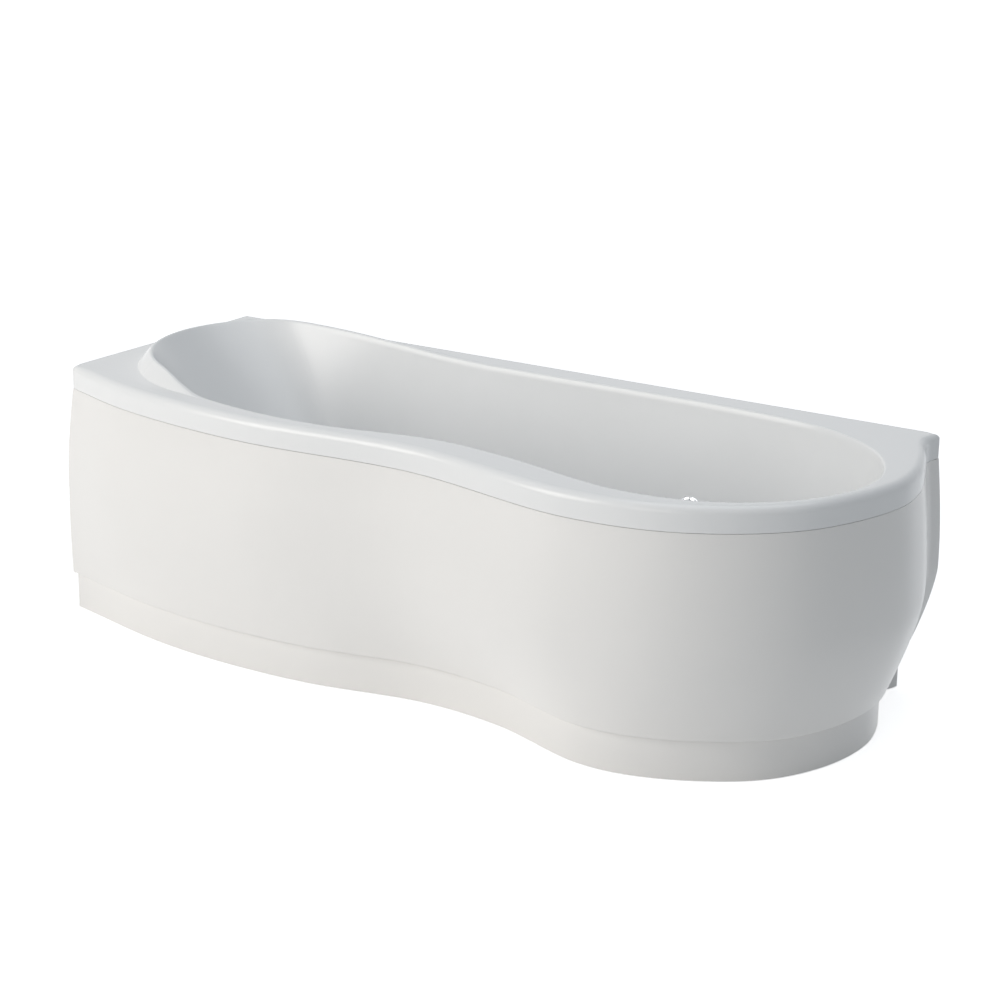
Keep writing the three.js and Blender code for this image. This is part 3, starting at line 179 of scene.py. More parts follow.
basin_knee_shares = [
    (0.285, 0.148), (0.235, 0.19), (0.212, 0.3), (0.206, 0.453), (0.219, 0.613), (0.261, 0.74),
    (0.344, 0.795), (0.433, 0.79), (0.528, 0.745), (0.622, 0.77), (0.778, 0.85), (0.856, 0.805),
    (0.911, 0.68), (0.939, 0.52), (0.928, 0.387), (0.889, 0.253), (0.806, 0.165), (0.639, 0.142),
    (0.389, 0.142)]
basin_floor_shares = [
    (0.289, 0.287), (0.267, 0.44), (0.283, 0.6), (0.344, 0.687), (0.433, 0.7), (0.528, 0.653),
    (0.622, 0.667), (0.778, 0.733), (0.85, 0.667), (0.883, 0.52), (0.867, 0.36), (0.794, 0.267),
    (0.611, 0.247), (0.389, 0.253)]


def plan(share):
    """A plan point in millimetres, from shares of the bath's length and depth."""
    return np.array((share[0] * bath["length"], -share[1] * bath["depth"]))


middle = plan((0.52, 0.46))
basin_points, drawing_passes = 640, 24
front_stations, side_stations, back_stations = 170, 48, 62


def smooth_line(points, count, closed=False, steps=40):
    """Evenly spaced points on the smooth line through a few points: a centripetal spline."""
    points = [np.asarray(point, float) for point in points]
    if closed:
        ends = [points[-1], *points, points[0], points[1]]
    else:
        ends = [2 * points[0] - points[1], *points, 2 * points[-1] - points[-2]]
    fine = []
    for p0, p1, p2, p3 in zip(ends, ends[1:], ends[2:], ends[3:]):
        pairs = ((p0, p1), (p1, p2), (p2, p3))
        d0, d1, d2 = (max(np.linalg.norm(b - a), 1e-9) ** 0.5 for a, b in pairs)
        start = ((p1 - p0) / d0 - (p2 - p0) / (d0 + d1) + (p2 - p1) / d1) * d1
        end = ((p2 - p1) / d1 - (p3 - p1) / (d1 + d2) + (p3 - p2) / d2) * d1
        for t in np.linspace(0, 1, steps, endpoint=False):
            bend = (2 * p1 - 2 * p2 + start + end) * t ** 3 + (3 * p2 - 3 * p1 - 2 * start - end) * t ** 2
            fine.append(bend + start * t + p1)
    fine.append(points[0] if closed else points[-1])
    fine = np.array(fine)
    along = np.concatenate(([0], np.cumsum(np.linalg.norm(np.diff(fine, axis=0), axis=1))))
    places = np.linspace(0, along[-1], count + 1)
    return np.stack([np.interp(places, along, column) for column in fine.T], axis=1)


def basin_line(shares):
    """A closed line round the basin, with its tightest bends spread a little, as sheet draws down."""
    line = smooth_line([plan(share) for share in shares], basin_points, closed=True)[:-1]
    for _ in range(drawing_passes):
        line = (np.roll(line, 1, axis=0) + 2 * line + np.roll(line, -1, axis=0)) / 4
    return np.vstack((line, line[:1]))


edge_loop, knee_loop, floor_loop = (
    basin_line(shares) for shares in (basin_edge_shares, basin_knee_shares, basin_floor_shares))


def bearing(point):
    """The direction of a plan point from the middle, in a plan scaled to a square."""
    return atan2((point[1] - middle[1]) / bath["depth"], (point[0] - middle[0]) / bath["length"])


def on_loop(loop, angle):
    """Where the ray of a bearing crosses a closed plan loop."""
    ray = np.array((cos(angle) * bath["length"], sin(angle) * bath["depth"]))
    start, side = loop[:-1], np.diff(loop, axis=0)
    offset = start - middle
    across = ray[0] * side[:, 1] - ray[1] * side[:, 0]
    far = (offset[:, 0] * side[:, 1] - offset[:, 1] * side[:, 0]) / across
    along = (offset[:, 0] * ray[1] - offset[:, 1] * ray[0]) / across
    hit = np.nonzero((far > 0) & (along >= 0) & (along <= 1))[0][0]
    return start[hit] + along[hit] * side[hit]


def eased(share):
    """A share from 0 to 1 that starts and ends without a jerk."""
    t = min(max(share, 0), 1)
    return t * t * (3 - 2 * t)


def ring_height(edge):
    """How far the head ring stands over the deck at a point of the basin's edge."""
    side = "front" if edge[1] < middle[1] else "back"
    start, end = ring[side + "_start"], ring[side + "_end"]
    return ring["height"] * eased((end - edge[0]) / (end - start))


def wall_at(angle, z):
    """The basin's straight wall at a bearing and a height."""
    edge = on_loop(edge_loop, angle)
    top = bath["height"] + ring_height(edge) - rim["lip_drop"]
    share = (top - z) / (top - bath["knee"])
    return np.append(edge + share * (on_loop(knee_loop, angle) - edge), z)


def in_bend(start, corner, end, t):
    """A point of the round bend that joins two lines at their corner."""
    return (1 - t) ** 2 * start + 2 * t * (1 - t) * corner + t * t * end


def rounded(points, corners, steps=5):
    """A closed plan line with a short round bend at each of its corners."""
    line = []
    for index, corner in enumerate(points):
        if index not in corners:
            line.append(corner)
            continue
        before, after = points[index - 1], points[(index + 1) % len(points)]
        start, end = (corner + rim["corner"] * (point - corner) / np.linalg.norm(point - corner)
                      for point in (before, after))
        line += [in_bend(start, corner, end, t) for t in np.linspace(0, 1, steps)]
    return np.array(line)


def offset(points, distance):
    """Moves a closed plan line sideways, outwards when the distance is positive."""
    before, after = np.roll(points, 1, axis=0), np.roll(points, -1, axis=0)
    first, second = points - before, after - points
    sides = [np.stack((run[:, 1], -run[:, 0]), axis=1) / np.linalg.norm(run, axis=1)[:, None]
             for run in (first, second)]
    miter = (sides[0] + sides[1]) / (1 + (sides[0] * sides[1]).sum(axis=1))[:, None]
    return points + miter * np.broadcast_to(distance, len(points))[:, None]


def flared(line):
    """Turns the last stretch at the right wall outwards into a narrow ear."""
    stretch = [eased(1 + y / rim["ear_run"]) if x > middle[0] else 0 for x, y in line]
    return line + np.column_stack((np.array(stretch) * rim["ear"], np.zeros(len(line))))


front_line = flared(smooth_line([plan(share) for share in rim_front_shares], front_stations))
side_line = [(0, front_line[0][1] * (1 - cos(turn)) / 2) for turn in np.linspace(0, pi, side_stations)]
back_line = [(front_line[-1][0] * (1 + cos(turn)) / 2, 0) for turn in np.linspace(0, pi, back_stations)]
plan_corners = [np.zeros(2), front_line[0], front_line[-1]]


def clear_of_corners(line):
    """Leaves out the stations so near a plan corner that they would cross in the rounded rim."""
    radii = (rim["wall_radius"], rim["radius"], rim["radius"])
    return [point for point in line
            if all(np.linalg.norm(point - corner) > radius + 2 * rim["corner"]
                   for corner, radius in zip(plan_corners, radii))]


sides = [clear_of_corners(line) for line in (side_line, front_line, back_line)]
square_outline = np.array([point for corner, side in zip(plan_corners, sides) for point in (corner, *side)])
corners = (0, 1 + len(sides[0]), 2 + len(sides[0]) + len(sides[1]))


def roll_share(index):
    """The rim has a crisp edge against the walls, and its full radius two stations into the front."""
    if index < corners[1] or index > corners[2]:
        return rim["wall_radius"] / rim["radius"]
    first, growth = 0.6, 0.2
    return min(1, first + growth * min(index - corners[1], corners[2] - index))


roll_shares = np.array([roll_share(index) for index in range(len(square_outline))])
rolls = rounded(np.column_stack((square_outline, roll_shares * rim["radius"])), corners)[:, 2]


def rim_outline(share):
    """The rim's outline, drawn in by a share of the radius of its rolled edge."""
    return rounded(offset(square_outline, -share * roll_shares * rim["radius"]), corners)


outline = rim_outline(0)
bearings = [bearing(point) for point in outline]
edges = np.array([on_loop(edge_loop, angle) for angle in bearings])
rises = np.array([ring_height(edge) for edge in edges])
lip_tops = bath["height"] + rises - rim["lip_drop"]


def lifted(points, height):
    """Plan points at a height, or each at its own."""
    return np.column_stack((points, np.broadcast_to(height, len(points))))


def rim_rows():
    """The upright fascia from its lower edge, then the roll over to the deck."""
    rows = [lifted(outline, bath["height"] - drop) for drop in (rim["height"], 1.6 * rim["radius"])]
    for turn in np.linspace(0, pi / 2, 7):
        rows.append(lifted(rim_outline(1 - cos(turn)), bath["height"] - rolls * (1 - sin(turn))))
    return rows


def lip_rows():
    """The deck, then the lip of the basin, which stands up as a ring round the head end."""
    deck = rim_outline(1)
    shoulder, shoulder_run, inner_round = 0.8, 0.2, 0.3
    room = ((deck - edges) * (offset(edges, 1) - edges)).sum(axis=1)
    top_width = np.minimum(rim["lip_width"], shoulder * room)
    foot = top_width + ring["run"] * rises / ring["height"]
    rows = [lifted(deck + share * (offset(edges, foot) - deck), bath["height"]) for share in (0.3, 0.65, 1)]
    slope = [(0.985, 0.035), (0.96, 0.15), (0.92, 0.36), (0.87, 0.62), (0.82, 0.82), (0.75, 0.93),
             (0.64, 0.985), (0.48, 1), (0.3, 1), (0.18, 0.985)]
    for width_share, height_share in slope:
        run = max(width_share - shoulder, 0) / shoulder_run
        width = top_width * width_share + run * (foot - top_width)
        drop = rim["lip_drop"] * max(inner_round - width_share, 0) ** 2 / inner_round ** 2
        rows.append(lifted(offset(edges, width), bath["height"] + rises * height_share - drop))
    return rows + [lifted(edges, lip_tops)]


def wall_rows():
    """The straight wall of the basin, from the lip down to the knee."""
    rows = []
    for share in (0.03, 0.1, 0.2, 0.35, 0.5, 0.65, 0.8, 0.9, 1):
        heights = lip_tops - share * (lip_tops - bath["knee"])
        rows.append(np.array([wall_at(angle, height) for angle, height in zip(bearings, heights)]))
    return rows


def floor_rows():
    """The wide bend from the knee to the floor, and the floor itself."""
    rows = []
    for t in np.linspace(0, 1, 11)[1:]:
        row = []
        for angle, edge, top in zip(bearings, edges, lip_tops):
            knee = wall_at(angle, bath["knee"])
            slope = (knee[:2] - edge) / (top - bath["knee"])
            corner = np.append(knee[:2] + slope * (bath["knee"] - bath["floor"]), bath["floor"])
            floor_point = np.append(on_loop(floor_loop, angle), bath["floor"])
            row.append(in_bend(knee, corner, floor_point, t))
        rows.append(np.array(row))
    last = rows[-1]
    centre = np.append(middle, bath["floor"])
    return rows + [last + share * (centre - last) for share in (0.25, 0.5, 0.75)]


def in_frame(point):
    """A point in millimetres from the corner of the two walls, as a place in the CAD frame."""
    return Vector((left_wall + point[0] * mm, back_wall + point[1] * mm, point[2] * mm))


def lofted(bm, rows, closed=True):
    """Draws the first row as a line of edges and extrudes the line to each next row."""
    verts = [bm.verts.new(in_frame(point)) for point in rows[0]]
    pairs = zip(verts, verts[1:] + verts[:1]) if closed else zip(verts, verts[1:])
    line = [bm.edges.new(pair) for pair in pairs]
    for row in rows[1:]:
        place = {vert: index for index, vert in enumerate(verts)}
        grown = bmesh.ops.extrude_edge_only(bm, edges=line)["geom"]
        line = [item for item in grown if isinstance(item, bmesh.types.BMEdge)]
        following = list(verts)
        for vert in (item for item in grown if isinstance(item, bmesh.types.BMVert)):
            others = [edge.other_vert(vert) for edge in vert.link_edges]
            index = next(place[other] for other in others if other in place)
            vert.co = in_frame(row[index])
            following[index] = vert
        verts = following
    return line


def facing(bm, direction, start):
    """Turns all faces of an open sheet so that the face nearest a point looks in a direction."""
    bmesh.ops.recalc_face_normals(bm, faces=bm.faces)
    nearest = min(bm.faces, key=lambda face: (face.calc_center_median() - start).length)
    if nearest.normal.dot(direction) < 0:
        bmesh.ops.reverse_faces(bm, faces=bm.faces)


def finish(name, colour, variation, cloud, roughness, bump, grain, metallic=0.0, coat=0.0):
    """A plain finish with soft clouds in its tone, a live gloss and a fine skin."""
    made = bpy.data.materials.new(name)
    made.use_nodes = True
    tree = made.node_tree
    place = shader_node(tree, "TexCoord", {}).outputs["Object"]
    clouds = shader_node(tree, "TexNoise", {"Vector": place, "Scale": cloud, "Detail": 4}).outputs["Fac"]
    tone = shader_node(tree, "ValToRGB", {"Fac": clouds})
    dark, light = tone.color_ramp.elements
    dark.position, light.position = 0.3, 0.7
    dark.color = (*[max(c - variation, 0) for c in colour], 1)
    light.color = (*[min(c + variation, 1) for c in colour], 1)
    gloss = shader_node(tree, "MapRange", {"Value": clouds, "To Min": roughness * 0.8,
                                           "To Max": roughness * 1.25})
    skin = shader_node(tree, "TexNoise", {"Vector": place, "Scale": grain, "Detail": 2})
    relief = shader_node(tree, "Bump", {"Height": skin.outputs["Fac"], "Strength": bump, "Distance": 0.0005})
    fed(tree.nodes["Principled BSDF"], {
        "Base Color": tone.outputs["Color"], "Roughness": gloss.outputs["Result"],
        "Normal": relief.outputs["Normal"], "Metallic": metallic, "Coat Weight": coat,
        "Coat Roughness": 0.06})
    return made


def settled(made):
    """Applies a piece's modifiers, so that its mesh is what shows."""
    graph = bpy.context.evaluated_depsgraph_get()
    mesh = bpy.data.meshes.new_from_object(made.evaluated_get(graph))
    made.modifiers.clear()
    made.data = mesh
    return made


def walled(made, thickness, back_slot=0):
    """Gives a sheet its wall behind its face, and the wall's back a material slot of its own."""
    wall = made.modifiers.new("wall", "SOLIDIFY")
    wall.thickness, wall.offset, wall.material_offset = thickness * mm, -1, back_slot
    return settled(made)


def shaded(made, sharp=35):
    """Smooth shading that stops at sharp edges and keeps flat faces flat."""
    made.data.polygons.foreach_set("use_smooth", [True] * len(made.data.polygons))
    made.data.set_sharp_from_angle(angle=radians(sharp))
    made.modifiers.new("flat_faces", "WEIGHTED_NORMAL").keep_sharp = True
    settled(made)


def piece(name, bm, material, node, body="bath", sharp=35):
    """Makes a scene piece from a bmesh. It stands for a CAD node and rides on a body."""
    made = as_object(bm, name)
    made.data.materials.append(material)
    shaded(made, sharp)
    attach(made, body)
    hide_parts(node)
    return made


acrylic = finish("white_acrylic", (0.871, 0.873, 0.869), variation=0.008, cloud=3, roughness=0.24,
                 bump=0.03, grain=240)
sheet = bmesh.new()
last_line = lofted(sheet, rim_rows() + lip_rows() + wall_rows() + floor_rows())
bmesh.ops.holes_fill(sheet, edges=last_line, sides=0)
facing(sheet, Vector((0, 0, 1)), in_frame(np.append(middle, bath["floor"])))
shell = piece("tub_shell_skin", sheet, acrylic, "tub_shell")
backing = finish("glass_fibre_backing", (0.66, 0.64, 0.56), variation=0.035, cloud=14, roughness=0.6,
                 bump=0.9, grain=170)
shell.data.materials.append(backing)
walled(shell, bath["shell"], 1)


# Holes and seats for the fittings
# Every fitting stands on a flat seat, 2 mm sunk into the skin, round a drilled hole. Six jets, the
# suction fitting, the overflow, the air valve and the start button share the wall; the waste is in
# the floor.
seat_sink, hole_clear, face_clear = 2, 0.5, 0.3
suction_share, suction_rise = (0.29, 0.85), 0.344
button_share, button_drop = (0.47, 0.83), 77
drain_share = (0.547, 0.527)


def upright(point):
    """Upright axes in millimetres at a point of the bath."""
    return Matrix.Translation(in_frame(point)) @ Matrix.Scale(mm, 4)


def risen(share):
    """A height between the basin's floor and the rim."""
    return bath["floor"] + share * (bath["height"] - bath["floor"])


def seat_axes(origin, normal):
    """Axes of a place on the wall, in millimetres: X along it, Y up it and Z into the basin."""
    across = Vector((0, 0, 1)).cross(normal).normalized()
    turn = Matrix((across, normal.cross(across), normal)).transposed().to_4x4()
    return Matrix.Translation(origin) @ turn @ Matrix.Scale(mm, 4)


def seat_on_wall(share, height):
    """The seat of a fixed fitting, square to the wall where a plan share's bearing meets it."""
    angle, probe = bearing(plan(share)), 0.01
    origin = wall_at(angle, height)
    upwards = wall_at(angle, height + probe * bath["height"]) - origin
    around = wall_at(angle + probe, height) - wall_at(angle - probe, height)
    return seat_axes(in_frame(origin), Vector(np.cross(upwards, around)).normalized())


def seat_on_joint(name):
    """The seat of a fitting that turns, on the very axis of its joint."""
    joint = next(joint for joint in frame["joints"] if joint["name"] == name)
    return seat_axes(Vector(joint["pos_m"]), Vector(joint["axis"]).normalized())


jet_seats = [seat_on_joint(f"jet_face_{number}_turn") for number in range(1, 7)]
suction_seat = seat_on_wall(suction_share, risen(suction_rise))
overflow_seat, valve_seat = seat_on_joint("overflow_knob_turn"), seat_on_joint("air_valve_knob_turn")
button_seat = seat_on_wall(button_share, bath["height"] - button_drop)
drain_seat = upright((*plan(drain_share), bath["floor"]))


def edges_broken(bm, width, angle=28):
    """Breaks the edges of a closed mesh that are sharper than an angle with a small round."""
    sharp = [edge for edge in bm.edges if edge.is_manifold and edge.calc_face_angle() > radians(angle)]
    bmesh.ops.bevel(bm, geom=sharp, offset=width, offset_type="OFFSET", affect="EDGES", segments=2,
                    profile=0.5, clamp_overlap=True, material=-1)
    return bm


def softened(bm, width, angle=28):
    """Closes the seams of a mesh and, given a width, breaks its sharp edges."""
    bmesh.ops.remove_doubles(bm, verts=bm.verts, dist=width / 50 if width else 0.001)
    bmesh.ops.recalc_face_normals(bm, faces=bm.faces)
    return edges_broken(bm, width, angle) if width else bm


def turned(profile, soft=0.4, steps=72):
    """A piece turned about Z from pairs of radius and height, as on a lathe."""
    bm = bmesh.new()
    verts = [bm.verts.new((radius, 0, height)) for radius, height in profile]
    ring_verts = verts + verts[:1] if profile[0][0] > 0 else verts
    edges = [bm.edges.new(pair) for pair in zip(ring_verts, ring_verts[1:])]
    bmesh.ops.spin(bm, geom=verts + edges, cent=(0, 0, 0), axis=(0, 0, 1), angle=2 * pi, steps=steps,
                   use_merge=True)
    return softened(bm, soft)


def united(*meshes):
    """Puts several meshes into the first one."""
    whole = meshes[0]
    for other in meshes[1:]:
        part = bpy.data.meshes.new("part")
        other.to_mesh(part)
        other.free()
        whole.from_mesh(part)
        bpy.data.meshes.remove(part)
    return whole


def moved(bm, matrix):
    """Moves, turns or scales a mesh."""
    bmesh.ops.transform(bm, matrix=matrix, verts=bm.verts)
    return bm


def fitted(made, joined=(), cut=()):
    """Joins closed meshes to an object, then cuts others out of it."""
    tools = []
    for operation, meshes in (("UNION", joined), ("DIFFERENCE", cut)):
        for bm in meshes:
            tools.append(as_object(bm))
            step = made.modifiers.new(operation, "BOOLEAN")
            step.operation, step.solver, step.object = operation, "EXACT", tools[-1]
    settled(made)
    for tool in tools:
        bpy.data.objects.remove(tool, do_unlink=True)
    return made


def hole_tool(seat, hole_radius, face_radius):
    """What a fitting takes out of the shell: its hole, and the flat seat of its face."""
    hole, face, reach = hole_radius + hole_clear, face_radius + face_clear, 30
    return moved(turned([(0, -bath["shell"] - reach), (hole, -bath["shell"] - reach), (hole, -seat_sink),
                         (face, -seat_sink), (face, reach), (0, reach)], 0), seat)


# each seat with the radii of its hole and of its fitting's face
cuts = [(seat, 20, 30) for seat in jet_seats]
cuts += [(suction_seat, 24, 42), (overflow_seat, 22, 34), (valve_seat, 17, 25), (button_seat, 15, 23),
         (drain_seat, 23, 36)]
fitted(shell, cut=[united(*[hole_tool(seat, hole, face) for seat, hole, face in cuts])])
shaded(shell)


# Base board
# A rectangle of raw chipboard, 18 mm thick, bonded under the basin's floor with resin. It carries
# the load down to the frame, and has a round cut-out for the waste.
def cell_pattern(made, scale, depth):
    """Adds flat cells, such as flakes or zinc crystals, to the tone of a finish."""
    tree = made.node_tree
    place = tree.nodes["Texture Coordinate"].outputs["Object"]
    cells = shader_node(tree, "TexVoronoi", {"Vector": place, "Scale": scale})
    grey = shader_node(tree, "RGBToBW", {"Color": cells.outputs["Color"]})
    spread = shader_node(tree, "MapRange", {"Value": grey.outputs["Val"], "To Min": 1 - depth,
                                            "To Max": 1 + depth / 3})
    shader = tree.nodes["Principled BSDF"]
    tone = shader.inputs["Base Color"].links[0].from_socket
    scaled = shader_node(tree, "VectorMath", {0: tone, "Scale": spread.outputs["Result"]}, "SCALE")
    fed(shader, {"Base Color": scaled.outputs["Vector"]})


def copied(node, soft):
    """A merged copy of a CAD node's mesh, with its flat faces made whole and its edges broken."""
    bm = bmesh.new()
    bm.from_mesh(frame["nodes"][node].data)
    bmesh.ops.remove_doubles(bm, verts=bm.verts, dist=0.00001)
    bmesh.ops.dissolve_limit(bm, angle_limit=radians(0.6), verts=bm.verts, edges=bm.edges)
    return edges_broken(bm, soft * mm)


chipboard = finish("raw_chipboard", (0.5, 0.38, 0.22), variation=0.05, cloud=40, roughness=0.8, bump=0.4,
                   grain=600)
cell_pattern(chipboard, 260, 0.35)
piece("base_board_sheet", copied("base_board", 0.6), chipboard, "base_board", sharp=25)


# Steel frame
# Square steel tube, cut, welded in one piece and galvanised: two long rails over three cross
# members, posts up to the deck, and a bracket for the panel's foot at each cross member.
galvanised = finish("galvanised_steel", (0.5, 0.515, 0.525), variation=0.05, cloud=12, roughness=0.38,
                    metallic=0.85, bump=0.12, grain=300)
cell_pattern(galvanised, 75, 0.22)
piece("frame_weldment", copied("frame", 0.8), galvanised, "frame", sharp=25)


# Levelling feet
# Six zinc-plated threaded rods, each with a pad. They screw through the nuts under the cross
# members, are turned until the bath stands level, and are then locked for good.
leg = {"rod": 5, "top": 74, "pad": 22, "pad_height": 12, "thread": 0.5, "pitch": 2.0, "from_back": 82,
       "from_front": 42}
cross_shares = ((0.025, 0.727), (0.433, 0.8), (0.889, 0.787))
leg_places = []
for share in cross_shares:
    x, y = plan(share)
    leg_places += [(x, -leg["from_back"]), (x, y + leg["from_front"])]
plated = finish("zinc_plate", (0.58, 0.57, 0.53), variation=0.03, cloud=60, roughness=0.3, metallic=0.9,
                bump=0.08, grain=700)
root = leg["rod"] - leg["thread"]
profile = [(0, 0), (21, 0), (leg["pad"], 1), (leg["pad"], 3.4), (20.5, 4.4), (12, 6.5),
           (9.2, leg["pad_height"]), (root, leg["pad_height"])]
height = leg["pad_height"] + leg["pitch"] / 2
while height < leg["top"] - leg["pitch"]:
    profile += [(leg["rod"], height), (root, height + leg["pitch"] / 2)]
    height += leg["pitch"]
profile += [(root, leg["top"]), (0, leg["top"])]
foot = turned(profile, 0, 48)
for number, place in enumerate(leg_places, 1):
    piece(f"levelling_foot_{number}", moved(foot.copy(), upright((*place, 0))), plated,
          f"foot_{number}", sharp=50)
foot.free()


# Jet bodies
# White moulded bodies behind the wall, each clamped through its hole by a fluted back nut. The
# thick branch takes the flow from below and the thin one takes air from above.
jet = {"barrel": 20, "nut": 27, "nut_thickness": 6, "depth": 52, "port": 14, "port_reach": 34,
       "port_depth": 32, "air": 7, "air_reach": 30, "collar": 16.6, "clearance": 0.9, "wall": 2}
seal_thickness, joint_gap = 2.5, 0.3
nut_face = -bath["shell"] - seal_thickness
face_back = -seat_sink + joint_gap


def rod(radius, low, high, soft=0, steps=72):
    """A round bar along Z."""
    return turned([(0, low), (radius, low), (radius, high), (0, high)], soft, steps)


def as_bmesh(made):
    """Takes the mesh of an object out of the scene."""
    bm = bmesh.new()
    bm.from_mesh(made.data)
    bpy.data.objects.remove(made, do_unlink=True)
    return bm


def shaped(whole, joined=(), cut=()):
    """Joins closed meshes to a mesh, then cuts others out of it."""
    return as_bmesh(fitted(as_object(whole), joined, cut))


def raised(bm, height):
    """Draws a flat face up into an upright block."""
    grown = bmesh.ops.extrude_face_region(bm, geom=bm.faces[:])["geom"]
    top = [item for item in grown if isinstance(item, bmesh.types.BMVert)]
    bmesh.ops.translate(bm, verts=top, vec=(0, 0, height))


def fluted(radius, depth, flutes, low, high, soft=0.5):
    """A disc with flutes round its rim for a hand or a wrench, such as a plastic nut."""
    bm = bmesh.new()
    rim_verts = bmesh.ops.create_circle(bm, cap_ends=True, segments=flutes * 4, radius=radius)["verts"]
    for index, vert in enumerate(rim_verts):
        if index % 4 > 1:
            vert.co *= (radius - depth) / radius
    bmesh.ops.translate(bm, verts=bm.verts, vec=(0, 0, low))
    raised(bm, high - low)
    return softened(bm, soft, 40)


def back_nut(size, depth, flutes):
    """The nut that clamps a fitting from behind the wall."""
    return fluted(size["nut"], depth, flutes, nut_face - size["nut_thickness"], nut_face)


down, up = Matrix.Rotation(pi / 2, 4, "X"), Matrix.Rotation(-pi / 2, 4, "X")


def branch(size, turn, name="port", soft=0, bore=False):
    """A round branch off the axis of a fitting, or its bore, which is longer."""
    wall, more = (size["wall"], 4) if bore else (0, 0)
    port = rod(size[name] - wall, 0, size[name + "_reach"] + more, soft, 48)
    return moved(port, Matrix.Translation((0, 0, -size["port_depth"])) @ turn)


white_plastic = finish("white_moulded_plastic", (0.78, 0.79, 0.78), variation=0.015, cloud=30,
                       roughness=0.42, bump=0.1, grain=900)
body = shaped(
    rod(jet["barrel"], -jet["depth"], face_back - joint_gap, 0.6),
    [back_nut(jet, 1.4, 18), branch(jet, down, soft=0.5), branch(jet, up, "air", soft=0.5)],
    [rod(jet["collar"] + jet["clearance"], -jet["depth"] + jet["wall"], 4)])
for number, seat in enumerate(jet_seats, 1):
    piece(f"jet_housing_{number}", moved(body.copy(), seat), white_plastic,
          f"jet_body_{number}")
body.free()


# Jet faces and nozzles
# Chromed rings that snap into the bodies and turn to open or close the jet. Each holds a chromed
# ball with a flared bore, which swivels to aim the jet.
def chromed(name, tone):
    """A polished chrome plate."""
    return finish(name, tone, 0.015, 25, 0.07, metallic=1.0, bump=0.015, grain=300)


chrome_plastic = chromed("chromed_plastic", (0.76, 0.775, 0.79))
face = {"radius": 30, "rise": 5, "hole": 14.9, "collar": 16.6, "depth": 12}
profile = [(face["hole"], -face["depth"]), (face["collar"], -face["depth"]), (face["collar"], face_back),
           (face["radius"], face_back), (face["radius"], 0.6), (29.6, 1.9), (28.4, 3.1), (26.4, 4.1),
           (24, 4.7), (21.5, face["rise"]), (19.4, 4.9), (17.7, 4.3), (16.3, 3.2), (face["hole"], 1.4)]


def copies(bm, count, start=0.0):
    """Equal copies of a mesh, evenly spaced round Z."""
    made = [moved(bm.copy(), Matrix.Rotation(start + turn * 2 * pi / count, 4, "Z")) for turn in range(count)]
    bm.free()
    return made


def spaced(bm, count, start=0.0):
    """The copies as one mesh."""
    return united(*copies(bm, count, start))


dent = moved(rod(1.5, -6, 6, 0, 20), Matrix.Translation((29.2, 0, 4.4)) @ Matrix.Rotation(pi / 2, 4, "Y"))
ring_face = shaped(turned(profile, 0, 96), cut=[spaced(dent, 12)])
ball, cut_height = 14, 10
cut_turn = np.arcsin(cut_height / ball)
turns = np.linspace(-cut_turn, cut_turn, 17)
profile = [(5, -cut_height), *[(ball * cos(turn), ball * sin(turn)) for turn in turns], (7.4, cut_height),
           (6, 8.6), (5.2, 6), (5, 3)]
nozzle = turned(profile, 0, 64)
for number, seat in enumerate(jet_seats, 1):
    piece(f"jet_ring_{number}", moved(ring_face.copy(), seat), chrome_plastic,
          f"jet_face_{number}", f"jet_face_{number}")
    piece(f"jet_ball_{number}", moved(nozzle.copy(), seat), chrome_plastic,
          f"jet_nozzle_{number}", f"jet_nozzle_{number}")
ring_face.free()
nozzle.free()


# Manifolds
# Two rings of white pipe, bent round the outside of the basin and glued into tees: the flow to
# the jets runs under them, and the air runs over them. Steel bands clamp each branch; here they are
# drawn in one mesh with the ring, in its white finish.
manifold = {"radius": 16, "wall": 2, "drop": 62, "air": 8, "air_rise": 53, "lead": 0.07, "steps": 4,
            "band": 6, "band_off": 7, "band_rise": 1.6}
jet_rise = 0.475
jet_shares = ((0.4, 0.86), (0.7, 0.87), (0.97, 0.62), (0.96, 0.33), (0.7, 0.09), (0.42, 0.09))
jet_angles = [bearing(plan(share)) for share in jet_shares]
run_angles = [jet_angles[0] - manifold["lead"]]
for angle, following in zip(jet_angles, jet_angles[1:]):
    run_angles += [angle + step / manifold["steps"] * (following - angle)
                   for step in range(manifold["steps"])]
run_angles += [jet_angles[-1], jet_angles[-1] + manifold["lead"]]


def seat_at_angle(angle, height):
    """The seat that lies at a bearing."""
    point = on_loop(edge_loop, angle)
    return seat_on_wall((point[0] / bath["length"], -point[1] / bath["depth"]), height)


run_seats = [seat_at_angle(angle, risen(jet_rise)) for angle in run_angles]
flow_route = [seat @ Vector((0, -manifold["drop"], -jet["port_depth"])) for seat in run_seats]
air_route = [seat @ Vector((0, manifold["air_rise"], -jet["port_depth"])) for seat in run_seats]


